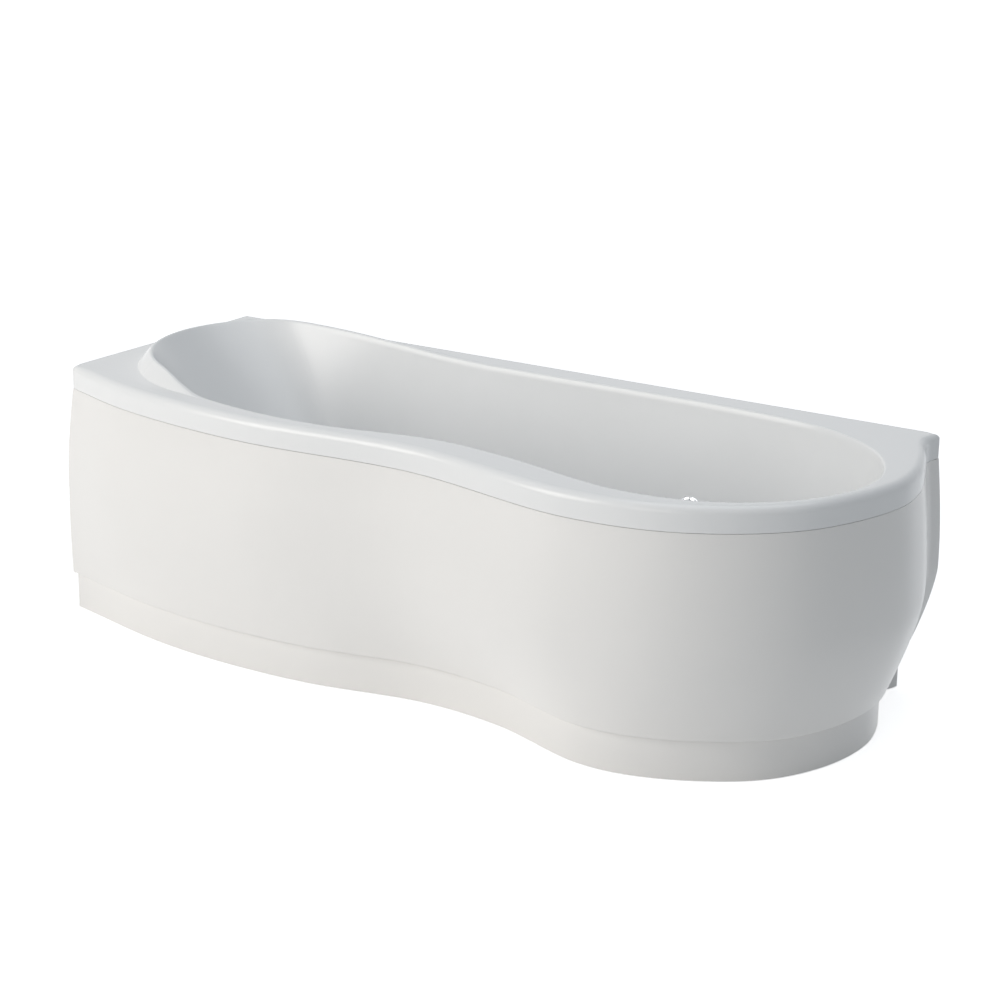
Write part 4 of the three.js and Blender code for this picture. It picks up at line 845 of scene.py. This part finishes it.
def bent_pipe(route, radius, wall=0, count=160, sides=8):
    """A round pipe bent along a smooth route. A pipe with no wall is solid, such as a lead."""
    curve = bpy.data.curves.new("route", "CURVE")
    curve.dimensions = "3D"
    curve.bevel_depth, curve.bevel_resolution, curve.use_fill_caps = radius * mm, sides, not wall
    points = smooth_line(route, count)
    spline = curve.splines.new("POLY")
    spline.points.add(len(points) - 1)
    for point, place in zip(spline.points, points):
        point.co = (*place, 1)
    made = bpy.data.objects.new("route", curve)
    scene.collection.objects.link(made)
    mesh = bpy.data.meshes.new_from_object(made.evaluated_get(bpy.context.evaluated_depsgraph_get()))
    bpy.data.objects.remove(made, do_unlink=True)
    bm = bmesh.new()
    bm.from_mesh(mesh)
    bpy.data.meshes.remove(mesh)
    bmesh.ops.remove_doubles(bm, verts=bm.verts, dist=0.00001)
    bmesh.ops.recalc_face_normals(bm, faces=bm.faces)
    if not wall:
        return bm
    bm.faces.ensure_lookup_table()
    first = bm.faces[0]
    if first.normal.dot(first.calc_center_median() - Vector(points[0])) < 0:
        bmesh.ops.reverse_faces(bm, faces=bm.faces)
    return as_bmesh(walled(as_object(bm, "tube"), wall))


def manifold_ring(route, radius, branch_radius, near, far):
    """The bent main pipe with a branch and a clamp band at each jet."""
    low, high = min(near, far), max(near, far)
    centre = near + (manifold["band_off"] if far > near else -manifold["band_off"])
    band_low, band_high = centre - manifold["band"] / 2, centre + manifold["band"] / 2
    branches = []
    for seat in jet_seats:
        place = seat @ Matrix.Translation((0, 0, -jet["port_depth"])) @ up
        branches.append(moved(rod(branch_radius, low, high, 0, 48), place))
        band = rod(branch_radius + manifold["band_rise"], band_low, band_high, 0.4, 60)
        branches.append(moved(band, place))
    return shaped(bent_pipe(route, radius), branches)


flow = manifold_ring(flow_route, manifold["radius"], jet["port"], -jet["port_reach"] - joint_gap,
                     -manifold["drop"] + manifold["wall"])
piece("flow_ring", flow, white_plastic, "flow_manifold")
air = manifold_ring(air_route, manifold["air"], jet["air"], jet["air_reach"] + joint_gap,
                    manifold["air_rise"] - manifold["wall"] / 2)
piece("air_ring", air, white_plastic, "air_manifold")


# Suction fitting
# A white body like the jets' but wider, low on the front wall. Its chromed cover has slots that
# are too narrow for hair or fingers to block.
suction = {"barrel": 24, "nut": 32, "nut_thickness": 7, "depth": 58, "port": 22, "port_reach": 44,
           "port_depth": 34, "wall": 3, "cover": 42, "cover_rise": 9, "spigot": 20.6, "slot": 3, "pitch": 8}
sideways = Matrix.Rotation(pi / 2, 4, "Y")
body = shaped(
    rod(suction["barrel"], -suction["depth"], face_back - joint_gap, 0.6),
    [back_nut(suction, 1.6, 20), branch(suction, sideways)],
    [rod(suction["barrel"] - suction["wall"], -suction["depth"] + suction["wall"], 4),
     branch(suction, sideways, bore=True)])
piece("suction_housing", moved(body, suction_seat), white_plastic, "suction_body")
inner = suction["spigot"] - 3
cover = turned([
    (0, 6), (inner, 6), (inner, -14), (suction["spigot"], -14), (suction["spigot"], face_back),
    (suction["cover"], face_back), (suction["cover"], 0.9), (41.5, 2.4), (40, 4), (37, 5.8), (33, 7.4),
    (27, 8.5), (20, 8.9), (10, suction["cover_rise"]), (0, suction["cover_rise"])], 0, 96)


def block(low, high, soft=0):
    """A square block between two corners."""
    bm = bmesh.new()
    bmesh.ops.create_cube(bm, size=1)
    low, high = Vector(low), Vector(high)
    bmesh.ops.scale(bm, vec=high - low, verts=bm.verts)
    bmesh.ops.translate(bm, vec=(low + high) / 2, verts=bm.verts)
    return softened(bm, soft)


slots = []
for row in range(-2, 3):
    half, across = suction["slot"] / 2, row * suction["pitch"]
    reach = inner - 2 - abs(row) * suction["slot"] / 2
    slots.append(block((-reach, across - half, 4), (reach, across + half, 12), 1.3))
cover = shaped(cover, cut=[united(*slots)])
piece("suction_grille", moved(cover, suction_seat), chrome_plastic, "suction_cover")


# Waste
# A chromed brass flange screwed down through the floor into a grey body, with a chromed plug
# that a lever inside lifts. The low trap below holds the seal and leads to the back wall.
chrome = chromed("chrome_on_brass", (0.8, 0.81, 0.82))
drain = {"flange": 36, "hole": 23, "drop": 45, "nut": 34, "nut_thickness": 6, "wall": 3, "plug": 29,
         "stem": 4, "trap": 46, "trap_foot": 12, "outlet": 20, "outlet_height": 33, "outlet_end": 60,
         "clearance": 0.5}
skirt = drain["hole"]
flange = turned([
    (skirt - 3, -bath["shell"] - 6), (skirt, -bath["shell"] - 6), (skirt, face_back),
    (drain["flange"], face_back), (drain["flange"], -0.2), (35.4, 0.8), (34, 1.6), (31.5, 2), (28, 1.8),
    (24.5, 1.3), (skirt - 3, 0.6)], 0, 96)
piece("waste_flange", moved(flange, drain_seat), chrome, "drain_flange")
grey_plastic = finish("grey_moulded_plastic", (0.33, 0.345, 0.36), variation=0.02, cloud=30, roughness=0.5,
                      bump=0.12, grain=800)
bore, guide_top = skirt + drain["clearance"], -bath["shell"] - 9
cup = turned([
    (bore, -drain["drop"]), (bore + 3, -drain["drop"]), (bore + 3, nut_face - 7.5),
    (bore + 5, nut_face - 6), (bore + 5, nut_face), (bore, nut_face)], 0.5)
nut = shaped(back_nut(drain, 1.8, 16), cut=[rod(bore + 2, -40, 0)])
bar = block((-bore - 1.5, -2.5, -drain["drop"]), (bore + 1.5, 2.5, guide_top - 3), 0.6)
waste_body = shaped(cup, [nut, bar, rod(drain["stem"] + 3, -drain["drop"], guide_top, 0.6)],
                    [rod(drain["stem"] + drain["clearance"], -50, 0)])
piece("waste_body", moved(waste_body, drain_seat), grey_plastic, "drain_body")
plug = turned([
    (0, 6.3), (12, 6.25), (20, 6), (24.5, 5.6), (27.4, 4.9), (28.7, 3.9), (drain["plug"], 3),
    (28.6, 2.3), (drain["stem"], 2.3), (drain["stem"], -35.4), (3.4, -36), (0, -36)], 0, 96)
piece("waste_plug", moved(plug, drain_seat), chrome, "drain_plug", "drain_plug")
high = bath["floor"] - drain["drop"] - joint_gap
centre = plan(drain_share)
outlet_turn = Matrix.Translation((0, 0, drain["outlet_height"])) @ up
reach = -drain["outlet_end"] - centre[1]
can = turned([
    (0, drain["trap_foot"]), (40, drain["trap_foot"]), (44.6, 13.6), (drain["trap"], 17),
    (drain["trap"], 62), (45.2, 62.6), (45.2, 63.6), (drain["trap"], 64.2), (drain["trap"], high - 1),
    (45, high), (0, high)], 0.3)
trap = shaped(can, [moved(rod(drain["outlet"], 0, reach, 0.6), outlet_turn)],
              [rod(43, 15, high - 3), moved(rod(17, 20, reach + 4), outlet_turn),
               rod(23, high - 8, high + 4)])
piece("waste_trap", moved(trap, upright((*centre, 0))), grey_plastic, "trap")


# Overflow
# A grey body through the front wall at the waist, under a chromed knob. The gap under the knob
# lets the overflow in; turning the knob pulls the cable that lifts the plug.
overflow = {"barrel": 22, "nut": 30, "nut_thickness": 6, "depth": 70, "wall": 3, "port": 14,
            "port_depth": 55, "port_reach": 30, "knob": 34, "knob_rise": 14, "knob_stand": 4, "stem": 5,
            "stem_depth": 30}
bore = overflow["barrel"] - overflow["wall"]
body = shaped(
    rod(overflow["barrel"], -overflow["depth"], face_back, 0.6),
    [back_nut(overflow, 1.6, 18), branch(overflow, down)],
    [rod(bore, -overflow["depth"] + overflow["wall"], 4), branch(overflow, down, bore=True)])
back, front = -overflow["stem_depth"] - overflow["wall"], -overflow["stem_depth"] / 2
spider = [block((-bore - 1.5, -3, back), (bore + 1.5, 3, front)),
          rod(overflow["stem"] + 3, back - 0.4, front + 0.4)]
body = shaped(body, spider, [rod(overflow["stem"] + 0.5, back - 4, front + 4)])
piece("overflow_housing", moved(body, overflow_seat), grey_plastic, "overflow_body")
knob = turned([
    (0, 13.2), (20, 13.4), (27, 13.8), (30.5, overflow["knob_rise"]), (32.6, 13.3), (33.7, 11.8),
    (overflow["knob"], 9.5), (overflow["knob"], 5), (33.2, overflow["knob_stand"]),
    (overflow["stem"], overflow["knob_stand"]), (overflow["stem"], -overflow["stem_depth"] + 0.6),
    (4.4, -overflow["stem_depth"]), (0, -overflow["stem_depth"])], 0, 96)
grip = block((-27, -3.5, 11), (27, 3.5, 20), 2.2)
knob = shaped(knob, [grip])
piece("overflow_handle", moved(knob, overflow_seat), chrome, "overflow_knob", "overflow_knob")


# Overflow pipe and plug cable
# A grey pipe falls from the overflow to the trap. Beside it runs the plug's push cable in its
# black sleeve, bent under the floor and up to the lever in the waste body.
fall = {"pipe_low": 34, "cable_low": 38, "cable": 2.5, "side": 34, "turn": 78}


def mouth(seat, size, beyond=joint_gap, side=(0, -1)):
    """A point straight out of the port of a fitting."""
    reach = size["port_reach"] + beyond
    return seat @ Vector((side[0] * reach, side[1] * reach, -size["port_depth"]))


start = mouth(overflow_seat, overflow)
waste = in_frame((*centre, 0))
trap_face = waste.y - (drain["trap"] + joint_gap) * mm


def falling(side, low):
    """Points of a line that falls from the overflow and runs in under the floor."""
    reach = trap_face - start.y
    return [Vector((start.x + side * mm, start.y + inward * reach, start.z + drop * (low - start.z)))
            for inward, drop in ((0, 0.35), (0.3, 0.7), (0.6, 0.94), (0.8, 1))]


low = fall["pipe_low"] * mm
route = [start, mouth(overflow_seat, overflow, 2 * overflow["port"]), *falling(0, low),
         Vector((waste.x, trap_face, low))]
piece("overflow_fall_pipe", bent_pipe(route, overflow["port"], overflow["wall"], 110), grey_plastic,
      "overflow_pipe")
cable_end = (bath["floor"] - drain["drop"] + fall["cable"] + 4) * mm
side = (drain["hole"] + drain["clearance"] + drain["wall"] + joint_gap) * mm
turn = waste.x + fall["turn"] * mm
barrel_side = -overflow["barrel"] - joint_gap - fall["cable"]
route = [overflow_seat @ Vector((barrel_side, 0, -overflow["port_depth"])),
         *falling(fall["side"], fall["cable_low"] * mm), Vector((turn, trap_face, low)),
         Vector((turn, waste.y, cable_end - 4 * mm)), Vector((waste.x + side, waste.y, cable_end))]
black_rubber = finish("black_rubber", (0.03, 0.03, 0.032), variation=0.006, cloud=40, roughness=0.62,
                      bump=0.15, grain=1200)
piece("plug_push_cable", bent_pipe(route, fall["cable"], 0, 150, 4), black_rubber, "plug_cable")


# Air valve and its feed
# A chromed dial on a body through the front wall. Turning it lets more or less air into the feed
# pipe, which leads to the air ring behind the jets.
valve = {"barrel": 17, "nut": 24, "nut_thickness": 5, "depth": 40, "wall": 2.5, "port": 8.5,
         "port_reach": 30, "port_depth": 28, "face": 25, "face_rise": 3, "knob": 20, "knob_rise": 19,
         "stem": 5, "stem_depth": 20}
lead_in = 34
plate_edge = [(valve["face"] - 2.4, valve["face_rise"]), (valve["face"] - 0.8, 2.5), (valve["face"], 1.2)]
body = shaped(
    turned([(0, valve["face_rise"]), *plate_edge, (valve["face"], face_back), (valve["barrel"], face_back),
            (valve["barrel"], -valve["depth"]), (0, -valve["depth"])], 0.2, 96),
    [back_nut(valve, 1.4, 16), branch(valve, down, soft=0.5)],
    [rod(valve["barrel"] - valve["wall"], -12, 8), rod(valve["stem"] + 0.5, -valve["stem_depth"] - 4, 0)])
piece("air_valve_housing", moved(body, valve_seat), chrome_plastic, "air_valve_body")
dial = turned([
    (0, 18.5), (12, 18.6), (16, 18.8), (17.6, valve["knob_rise"]), (18.9, 18.5), (19.7, 17.4),
    (valve["knob"], 16), (valve["knob"], 5), (19.4, 3.5), (valve["stem"], 3.5),
    (valve["stem"], -valve["stem_depth"] + 0.4), (4.6, -valve["stem_depth"]),
    (0, -valve["stem_depth"])], 0, 96)
groove = moved(rod(1.1, 6, 24, 0, 16), Matrix.Translation((valve["knob"] + 0.4, 0, 0)))
dial = shaped(dial, [block((-15, -2.5, 16), (15, 2.5, 23), 1.6)], [spaced(groove, 24)])
piece("air_dial", moved(dial, valve_seat), chrome_plastic, "air_valve_knob",
      "air_valve_knob")
outwards = (air_route[0] - air_route[1]).normalized() * mm
route = [mouth(valve_seat, valve), mouth(valve_seat, valve, lead_in),
         air_route[0] + lead_in * outwards, air_route[0] + joint_gap * outwards]
piece("air_feed_pipe", bent_pipe(route, valve["port"], manifold["wall"], 60), white_plastic,
      "air_feed")


# Pump
# A steel plate across the rails carries the motor, a ribbed grey casting with a terminal box. The
# black pump casing bolts to its front flange and a fan hood to its back, and one shaft turns both
# the impeller and the fan.
rail_top, plate_thickness = 87, 4
pump = {"x": 0.106 * bath["length"], "y": -0.447 * bath["depth"], "axis": 172, "motor": 62, "back": -130,
        "front": 62, "flange": 78, "volute": 80, "volute_back": 67.3, "volute_front": 129.3, "mouth": 149.3,
        "outlet": 16, "outlet_reach": 112, "outlet_middle": 98.3, "shaft": 7.5, "wall": 5, "foot_half": 80,
        "foot_length": 130}
plate_top = rail_top + joint_gap + plate_thickness
piece("pump_mounting_plate", copied("pump_plate", 0.8), galvanised, "pump_plate")
pump_place = Matrix.Translation(in_frame((pump["x"], pump["y"], pump["axis"])))
pump_place = pump_place @ Matrix.Rotation(pi / 2, 4, "X") @ Matrix.Scale(mm, 4)
sole, half = plate_top + joint_gap - pump["axis"], pump["foot_length"] / 2


def bolt_circle(radius, count, size, low, high, start=0.0):
    """Hexagonal bolt heads, evenly spaced round Z."""
    head = bmesh.new()
    bmesh.ops.create_circle(head, cap_ends=True, segments=6, radius=size)
    bmesh.ops.translate(head, verts=head.verts, vec=(0, 0, low))
    raised(head, high - low)
    moved(softened(head, size / 12, 50), Matrix.Translation((radius, 0, 0)))
    return spaced(head, count, start)


motor = shaped(
    fluted(pump["motor"], 4, 34, pump["back"] + 10, pump["front"] - 8, 0.5),
    [rod(pump["motor"], pump["back"], pump["back"] + 13, 1.2, 96),
     rod(pump["motor"], pump["front"] - 12, pump["front"] + 1, 0, 96),
     rod(pump["flange"], pump["front"] - pump["wall"], pump["front"] + pump["wall"], 1, 96),
     block((-pump["foot_half"], sole, -half), (pump["foot_half"], sole + pump["wall"], half), 1.2),
     block((-20, sole + 1, -half + 1), (20, -31, half - 1), 1.2),
     block((-22, 31, -22), (22, 74, 22), 2), block((-21, 75, -21), (21, 86, 21), 2),
     block((-19.5, 70, -19.5), (19.5, 80, 19.5)),
     bolt_circle(70, 6, 4.6, pump["front"] - 9, pump["front"] - 4, pi / 6)],
    [rod(pump["shaft"] + 0.7, pump["back"] - 4, pump["front"] + pump["wall"] + 4)])
motor_grey = finish("grey_motor_paint", (0.3, 0.32, 0.34), variation=0.015, cloud=45, roughness=0.42,
                    bump=0.3, grain=700)
piece("pump_motor_casting", moved(motor, pump_place), motor_grey, "pump_motor", sharp=25)
rib = block((30, -2, 127), (76, 2, 132.3), 0.6)
outlet_place = Matrix.Translation((0, 0, pump["outlet_middle"])) @ up
volute = shaped(
    turned([(62, pump["volute_back"]), (pump["volute"], pump["volute_back"]), (pump["volute"], 76),
            (77.5, 77.5), (77.5, 118), (76.6, 122.4), (74, 126.3), (70.4, 128.6),
            (66, pump["volute_front"]), (27, pump["volute_front"]), (24, 131), (24, pump["mouth"]),
            (19, pump["mouth"]), (19, 124.3), (62, 124.3)], 0.4, 96),
    [moved(rod(pump["outlet"], 67, pump["outlet_reach"], 0.5, 72), outlet_place),
     moved(turned([(0, 74), (20, 74), (20, 82), (17.5, 86), (0, 86)], 0.5, 64), outlet_place),
     spaced(rib, 8, pi / 8)],
    [moved(rod(13.5, 57, pump["outlet_reach"] + 4), outlet_place)])
pump_black = finish("black_glass_filled_plastic", (0.035, 0.036, 0.038), variation=0.008, cloud=50,
                    roughness=0.45, bump=0.25, grain=900)
piece("pump_casing", moved(volute, pump_place), pump_black, "pump_volute", sharp=25)


def blade(inner, outer, sweep, low, high, thickness):
    """An upright blade that leans back round Z on its way from the hub to its tip."""
    line = []
    for t in np.linspace(0, 1, 9):
        radius, turn = inner + t * (outer - inner), sweep * t * t
        line.append(np.array((radius * cos(turn), radius * sin(turn))))
    line = np.array(line)
    side = np.gradient(line, axis=0)
    side = np.stack((-side[:, 1], side[:, 0]), axis=1) / np.linalg.norm(side, axis=1)[:, None]
    edge = [*(line + side * thickness / 2), *(line - side * thickness / 2)[::-1]]
    bm = bmesh.new()
    bm.faces.new([bm.verts.new((*point, low)) for point in edge])
    raised(bm, high - low)
    return softened(bm, 0.5)


impeller, fan = 79, -135
rotor = shaped(
    turned([(0, fan - 8), (12, fan - 8), (13, fan - 5), (47.4, fan - 5), (48, fan - 4.4), (48, fan - 0.6),
            (47.4, fan), (pump["shaft"], fan), (pump["shaft"], impeller), (51.4, impeller),
            (52, impeller + 0.6), (52, impeller + 4.4), (51.4, impeller + 5), (13, impeller + 5),
            (12, impeller + 12), (9, impeller + 18), (0, impeller + 21)], 0, 64),
    [*copies(blade(6, 50, -0.7, impeller + 2, impeller + 20, 3), 6),
     *copies(blade(6, 46, 0, fan - 20, fan - 2, 3), 6)])
steel = finish("turned_steel", (0.56, 0.57, 0.58), variation=0.03, cloud=80, roughness=0.26, metallic=1.0,
               bump=0.08, grain=1400)
piece("pump_shaft_with_wheels", moved(rotor, pump_place), steel, "pump_rotor", "pump_rotor",
      sharp=25)
hood_front = pump["back"] - joint_gap
hood = turned([
    (pump["motor"], hood_front), (pump["motor"] - pump["wall"], hood_front), (57, -161.8), (24, -161.8),
    (24, -164.3), (54, -164.3), (58.5, -163.2), (61.2, -160.4), (pump["motor"], -156.5)], 0, 96)
vent = block((52, -2.2, -158), (70, 2.2, -142), 1.2)
hood = shaped(hood, cut=[spaced(vent, 20)])
piece("fan_cover", moved(hood, pump_place), pump_black, "fan_hood")


# Pump pipes
# Flexible white pipe, glued into its sockets: the suction pipe drops from the front wall into the
# pump's nose, and the discharge pipe rises and bends over the head end to the flow ring.
def pump_point(x, y, z):
    """A point from the pump's axis: across, up and towards its nose."""
    return pump_place @ Vector((x, y, z))


def behind_wall(share, height, depth):
    """A point at a depth behind the basin's wall."""
    return seat_on_wall(share, height) @ Vector((0, 0, -depth))


route = [mouth(suction_seat, suction, side=(1, 0)), mouth(suction_seat, suction, lead_in, (1, 0)),
         pump_point(102, 12, pump["mouth"] + 62), pump_point(12, 0, pump["mouth"] + 62),
         pump_point(0, 0, pump["mouth"] + lead_in), pump_point(0, 0, pump["mouth"] + joint_gap)]
piece("suction_hose", bent_pipe(route, suction["port"], suction["wall"], 70, 14), white_plastic,
      "suction_pipe")
outwards = (flow_route[0] - flow_route[1]).normalized() * mm
route = [pump_point(0, pump["outlet_reach"] + joint_gap, pump["outlet_middle"]),
         pump_point(0, pump["outlet_reach"] + lead_in, pump["outlet_middle"]),
         behind_wall((0.17, 0.8), risen(jet_rise) + 12, 52),
         behind_wall(suction_share, risen(jet_rise) + 12, jet["port_depth"]),
         flow_route[0] + lead_in * outwards, flow_route[0] + joint_gap * outwards]
piece("discharge_hose", bent_pipe(route, manifold["radius"], manifold["wall"], 90, 12), white_plastic,
      "discharge_pipe")


# Control box and motor lead
# A black moulded box beside the motor switches the pump. Its lid meets the base in a fine groove,
# and each lead or hose leaves by its own gland on top.
box = {"width": 36, "length": 110, "height": 92, "gland": 7, "gland_rise": 8, "lid": 10, "off_pump": 119}
low = Vector((pump["x"] - box["off_pump"], pump["y"] - box["length"] / 2, plate_top + joint_gap))
high = low + Vector((box["width"], box["length"], box["height"]))
inside = Vector((1.4, 1.4, 1.4))
gland_end = high.z + box["gland_rise"]
gland_spots = [Vector((low.x + box["width"] / 2, pump["y"] + side * box["length"] / 3, gland_end))
               for side in (-1, 0, 1)]
glands = []
for spot in gland_spots:
    gland = fluted(box["gland"], 0.9, 8, -box["gland_rise"] + 2, -2.4, 0.3)
    neck = turned([(0, -11), (5.6, -11), (5.6, -3), (5, -1), (4.4, 0), (0, 0)], 0, 48)
    glands.append(moved(shaped(gland, [neck]), Matrix.Translation(spot)))
case = shaped(
    block(low + Vector((box["lid"] + 0.8, 0, 0)), high, 2.5),
    [block(low, (low.x + box["lid"], high.y, high.z), 2.5), block(low + inside, high - inside),
     united(*glands)])
piece("control_box_case", moved(case, upright((0, 0, 0))), pump_black, "control_box", sharp=25)


def above_gland(number, rise):
    """A point straight over a gland of the control box."""
    return in_frame(gland_spots[number] + Vector((0, 0, rise)))


end = pump_point(-23, pump["motor"] + 12, 0)
route = [above_gland(1, joint_gap), above_gland(1, 40), end - Vector((lead_in * mm, 0, 0)), end]
piece("motor_cable", bent_pipe(route, 4, 0, 60, 6), black_rubber, "motor_lead")


# Start button and its air hose
# A chromed bezel through the front wall holds a white button. A press of 3 mm sends a puff of air
# down a thin hose, behind the basin, to the switch in the control box.
button = {"barrel": 15, "nut": 21, "nut_thickness": 5, "depth": 34, "face": 23, "face_rise": 4, "cap": 12,
          "stem": 4, "port": 4, "port_reach": 24, "port_depth": 28}
body = shaped(
    turned([(0, 3.2), (13.2, 3.2), (15, button["face_rise"]), (18, button["face_rise"]), (20.8, 3.6),
            (22.4, 2.6), (button["face"], 1), (button["face"], face_back), (button["barrel"], face_back),
            (button["barrel"], -button["depth"]), (0, -button["depth"])], 0, 96),
    [back_nut(button, 1.3, 14), branch(button, down, soft=0.3)],
    [rod(button["cap"] + 0.5, -11.5, 8), rod(button["stem"] + 0.5, -29, 0)])
piece("button_bezel", moved(body, button_seat), chrome_plastic, "button_body")
cap = turned([
    (0, 6.1), (5, 6.2), (8.4, 6.6), (9.8, 7), (11, 6.8), (11.7, 6.2), (button["cap"], 5.2),
    (button["cap"], -8), (button["stem"], -8), (button["stem"], -21.6), (3.6, -22), (0, -22)], 0, 96)
piece("button_cap", moved(cap, button_seat), white_plastic, "start_button", "start_button")
hose_shares = ((0.43, 0.86), (0.34, 0.87), (0.22, 0.84), (0.12, 0.73))
above = above_gland(0, 40)
hose_drop, hose_depth = 108, 41
route = [mouth(button_seat, button), mouth(button_seat, button, 12),
         *[behind_wall(share, bath["height"] - hose_drop, hose_depth) for share in hose_shares],
         above + Vector((0, -34, 70)) * mm, above, above_gland(0, joint_gap)]
piece("button_air_hose", bent_pipe(route, 3, 0, 150, 4), grey_plastic, "button_hose")


# Panel clips
# Four zinc-plated steel strips behind the fascia. Each is bent into a step that springs behind the
# top edge of the panel.
for number in range(1, 5):
    clip = f"panel_clip_{number}"
    piece(f"panel_spring_clip_{number}", copied(clip, 0.5), plated, clip, sharp=25)


# Front panel
# A separate acrylic sheet with a satin face, warm white. It hangs on clips under the rim, swells
# out and draws in to its foot, where a flange turned inwards lies on the frame's brackets.
panel_foot_shares = [
    (0, 0.811), (0.15, 0.897), (0.26, 0.922), (0.38, 0.91), (0.52, 0.846), (0.62, 0.864),
    (0.75, 0.955), (0.83, 0.926), (0.924, 0.789), (0.967, 0.616), (0.979, 0.419),
    (0.965, 0.27), (0.941, 0.155), (0.93, 0.06), (0.929, 0)]
panel = {"thickness": 5, "seam": 0.8, "foot": 84, "flange": 26, "left_bulge": 25.2, "right_bulge": 13.8,
         "turn_height": 270, "turn_power": 1.3, "end_share": 0.08, "edge": 4}
stations = range(front_stations + 1)
panel_rim, panel_base = (flared(smooth_line([plan(share) for share in shares], front_stations))
                         for shares in (rim_front_shares, panel_foot_shares))
panel_top = bath["height"] - rim["height"] - panel["seam"]


def outward(k):
    """The level direction in which the front faces at a station."""
    tangent = panel_rim[min(k + 2, front_stations)] - panel_rim[max(k - 2, 0)]
    side = np.array((tangent[1], -tangent[0])) / np.linalg.norm(tangent)
    along = k / front_stations
    for share, straight in ((along, (0, -1)), (1 - along, (1, 0))):
        side = side + (np.array(straight) - side) * (1 - eased(share / panel["end_share"]))
    return side / np.linalg.norm(side)


def panel_point(k, z, inset):
    """A point at a station and a height, set in from the panel's face."""
    share = (z - panel["foot"]) / (panel_top - panel["foot"])
    bulge = panel["left_bulge"] + (panel["right_bulge"] - panel["left_bulge"]) * k / front_stations
    turn_in = max(panel["turn_height"] - z, 0) / (panel["turn_height"] - panel["foot"])
    point = panel_rim[k] + (panel_base[k] - panel_rim[k]) * turn_in ** panel["turn_power"]
    return np.append(point + outward(k) * (bulge * sin(pi * share) - inset), z)


def panel_profile():
    """Heights and insets from the top edge round the face and the foot to the flange's end."""
    edge = panel["edge"]
    turns = np.linspace(0, pi / 2, 5)
    rows = [(z, 0.0) for z in np.linspace(panel_top, panel["foot"] + edge, 41)]
    rows += [(panel["foot"] + edge * (1 - sin(turn)), edge * (1 - cos(turn))) for turn in turns[1:]]
    return rows + [(panel["foot"], panel["flange"])]


satin = finish("warm_white_panel", (0.868, 0.852, 0.828), variation=0.008, cloud=2.5, roughness=0.3,
               bump=0.05, grain=500, coat=0.15)


def front_sheet(name, node, rows, thickness, height):
    """A sheet round the whole front, with its ends trimmed flush with the room's walls."""
    sheet = bmesh.new()
    lofted(sheet, rows, closed=False)
    facing(sheet, Vector((0, -1, 0)), in_frame((0.4 * bath["length"], -bath["depth"], height)))
    made = walled(piece(name, sheet, satin, node), thickness)
    for vert in made.data.vertices:
        vert.co.x, vert.co.y = max(vert.co.x, left_wall), min(vert.co.y, back_wall)
    shaded(made)


rows = [np.array([panel_point(k, z, inset) for k in stations]) for z, inset in panel_profile()]
front_sheet("front_panel_sheet", "front_panel", rows, panel["thickness"], 300)


# Kick strip
# A low strip of the same acrylic, set back under the panel's foot so that toes clear it. It
# stands on the floor and hides the feet of the frame.
kick = {"thickness": 5, "step": 14, "floor_gap": 2}


def kick_point(k, z):
    """A point of the strip's face, at a station and a height."""
    return np.append(panel_base[k] - outward(k) * kick["step"], z)


levels = (panel["foot"] - joint_gap, 60, 30, kick["floor_gap"])
rows = [np.array([kick_point(k, z) for k in stations]) for z in levels]
front_sheet("kick_strip", "toe_kick", rows, kick["thickness"], 50)


low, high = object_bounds()
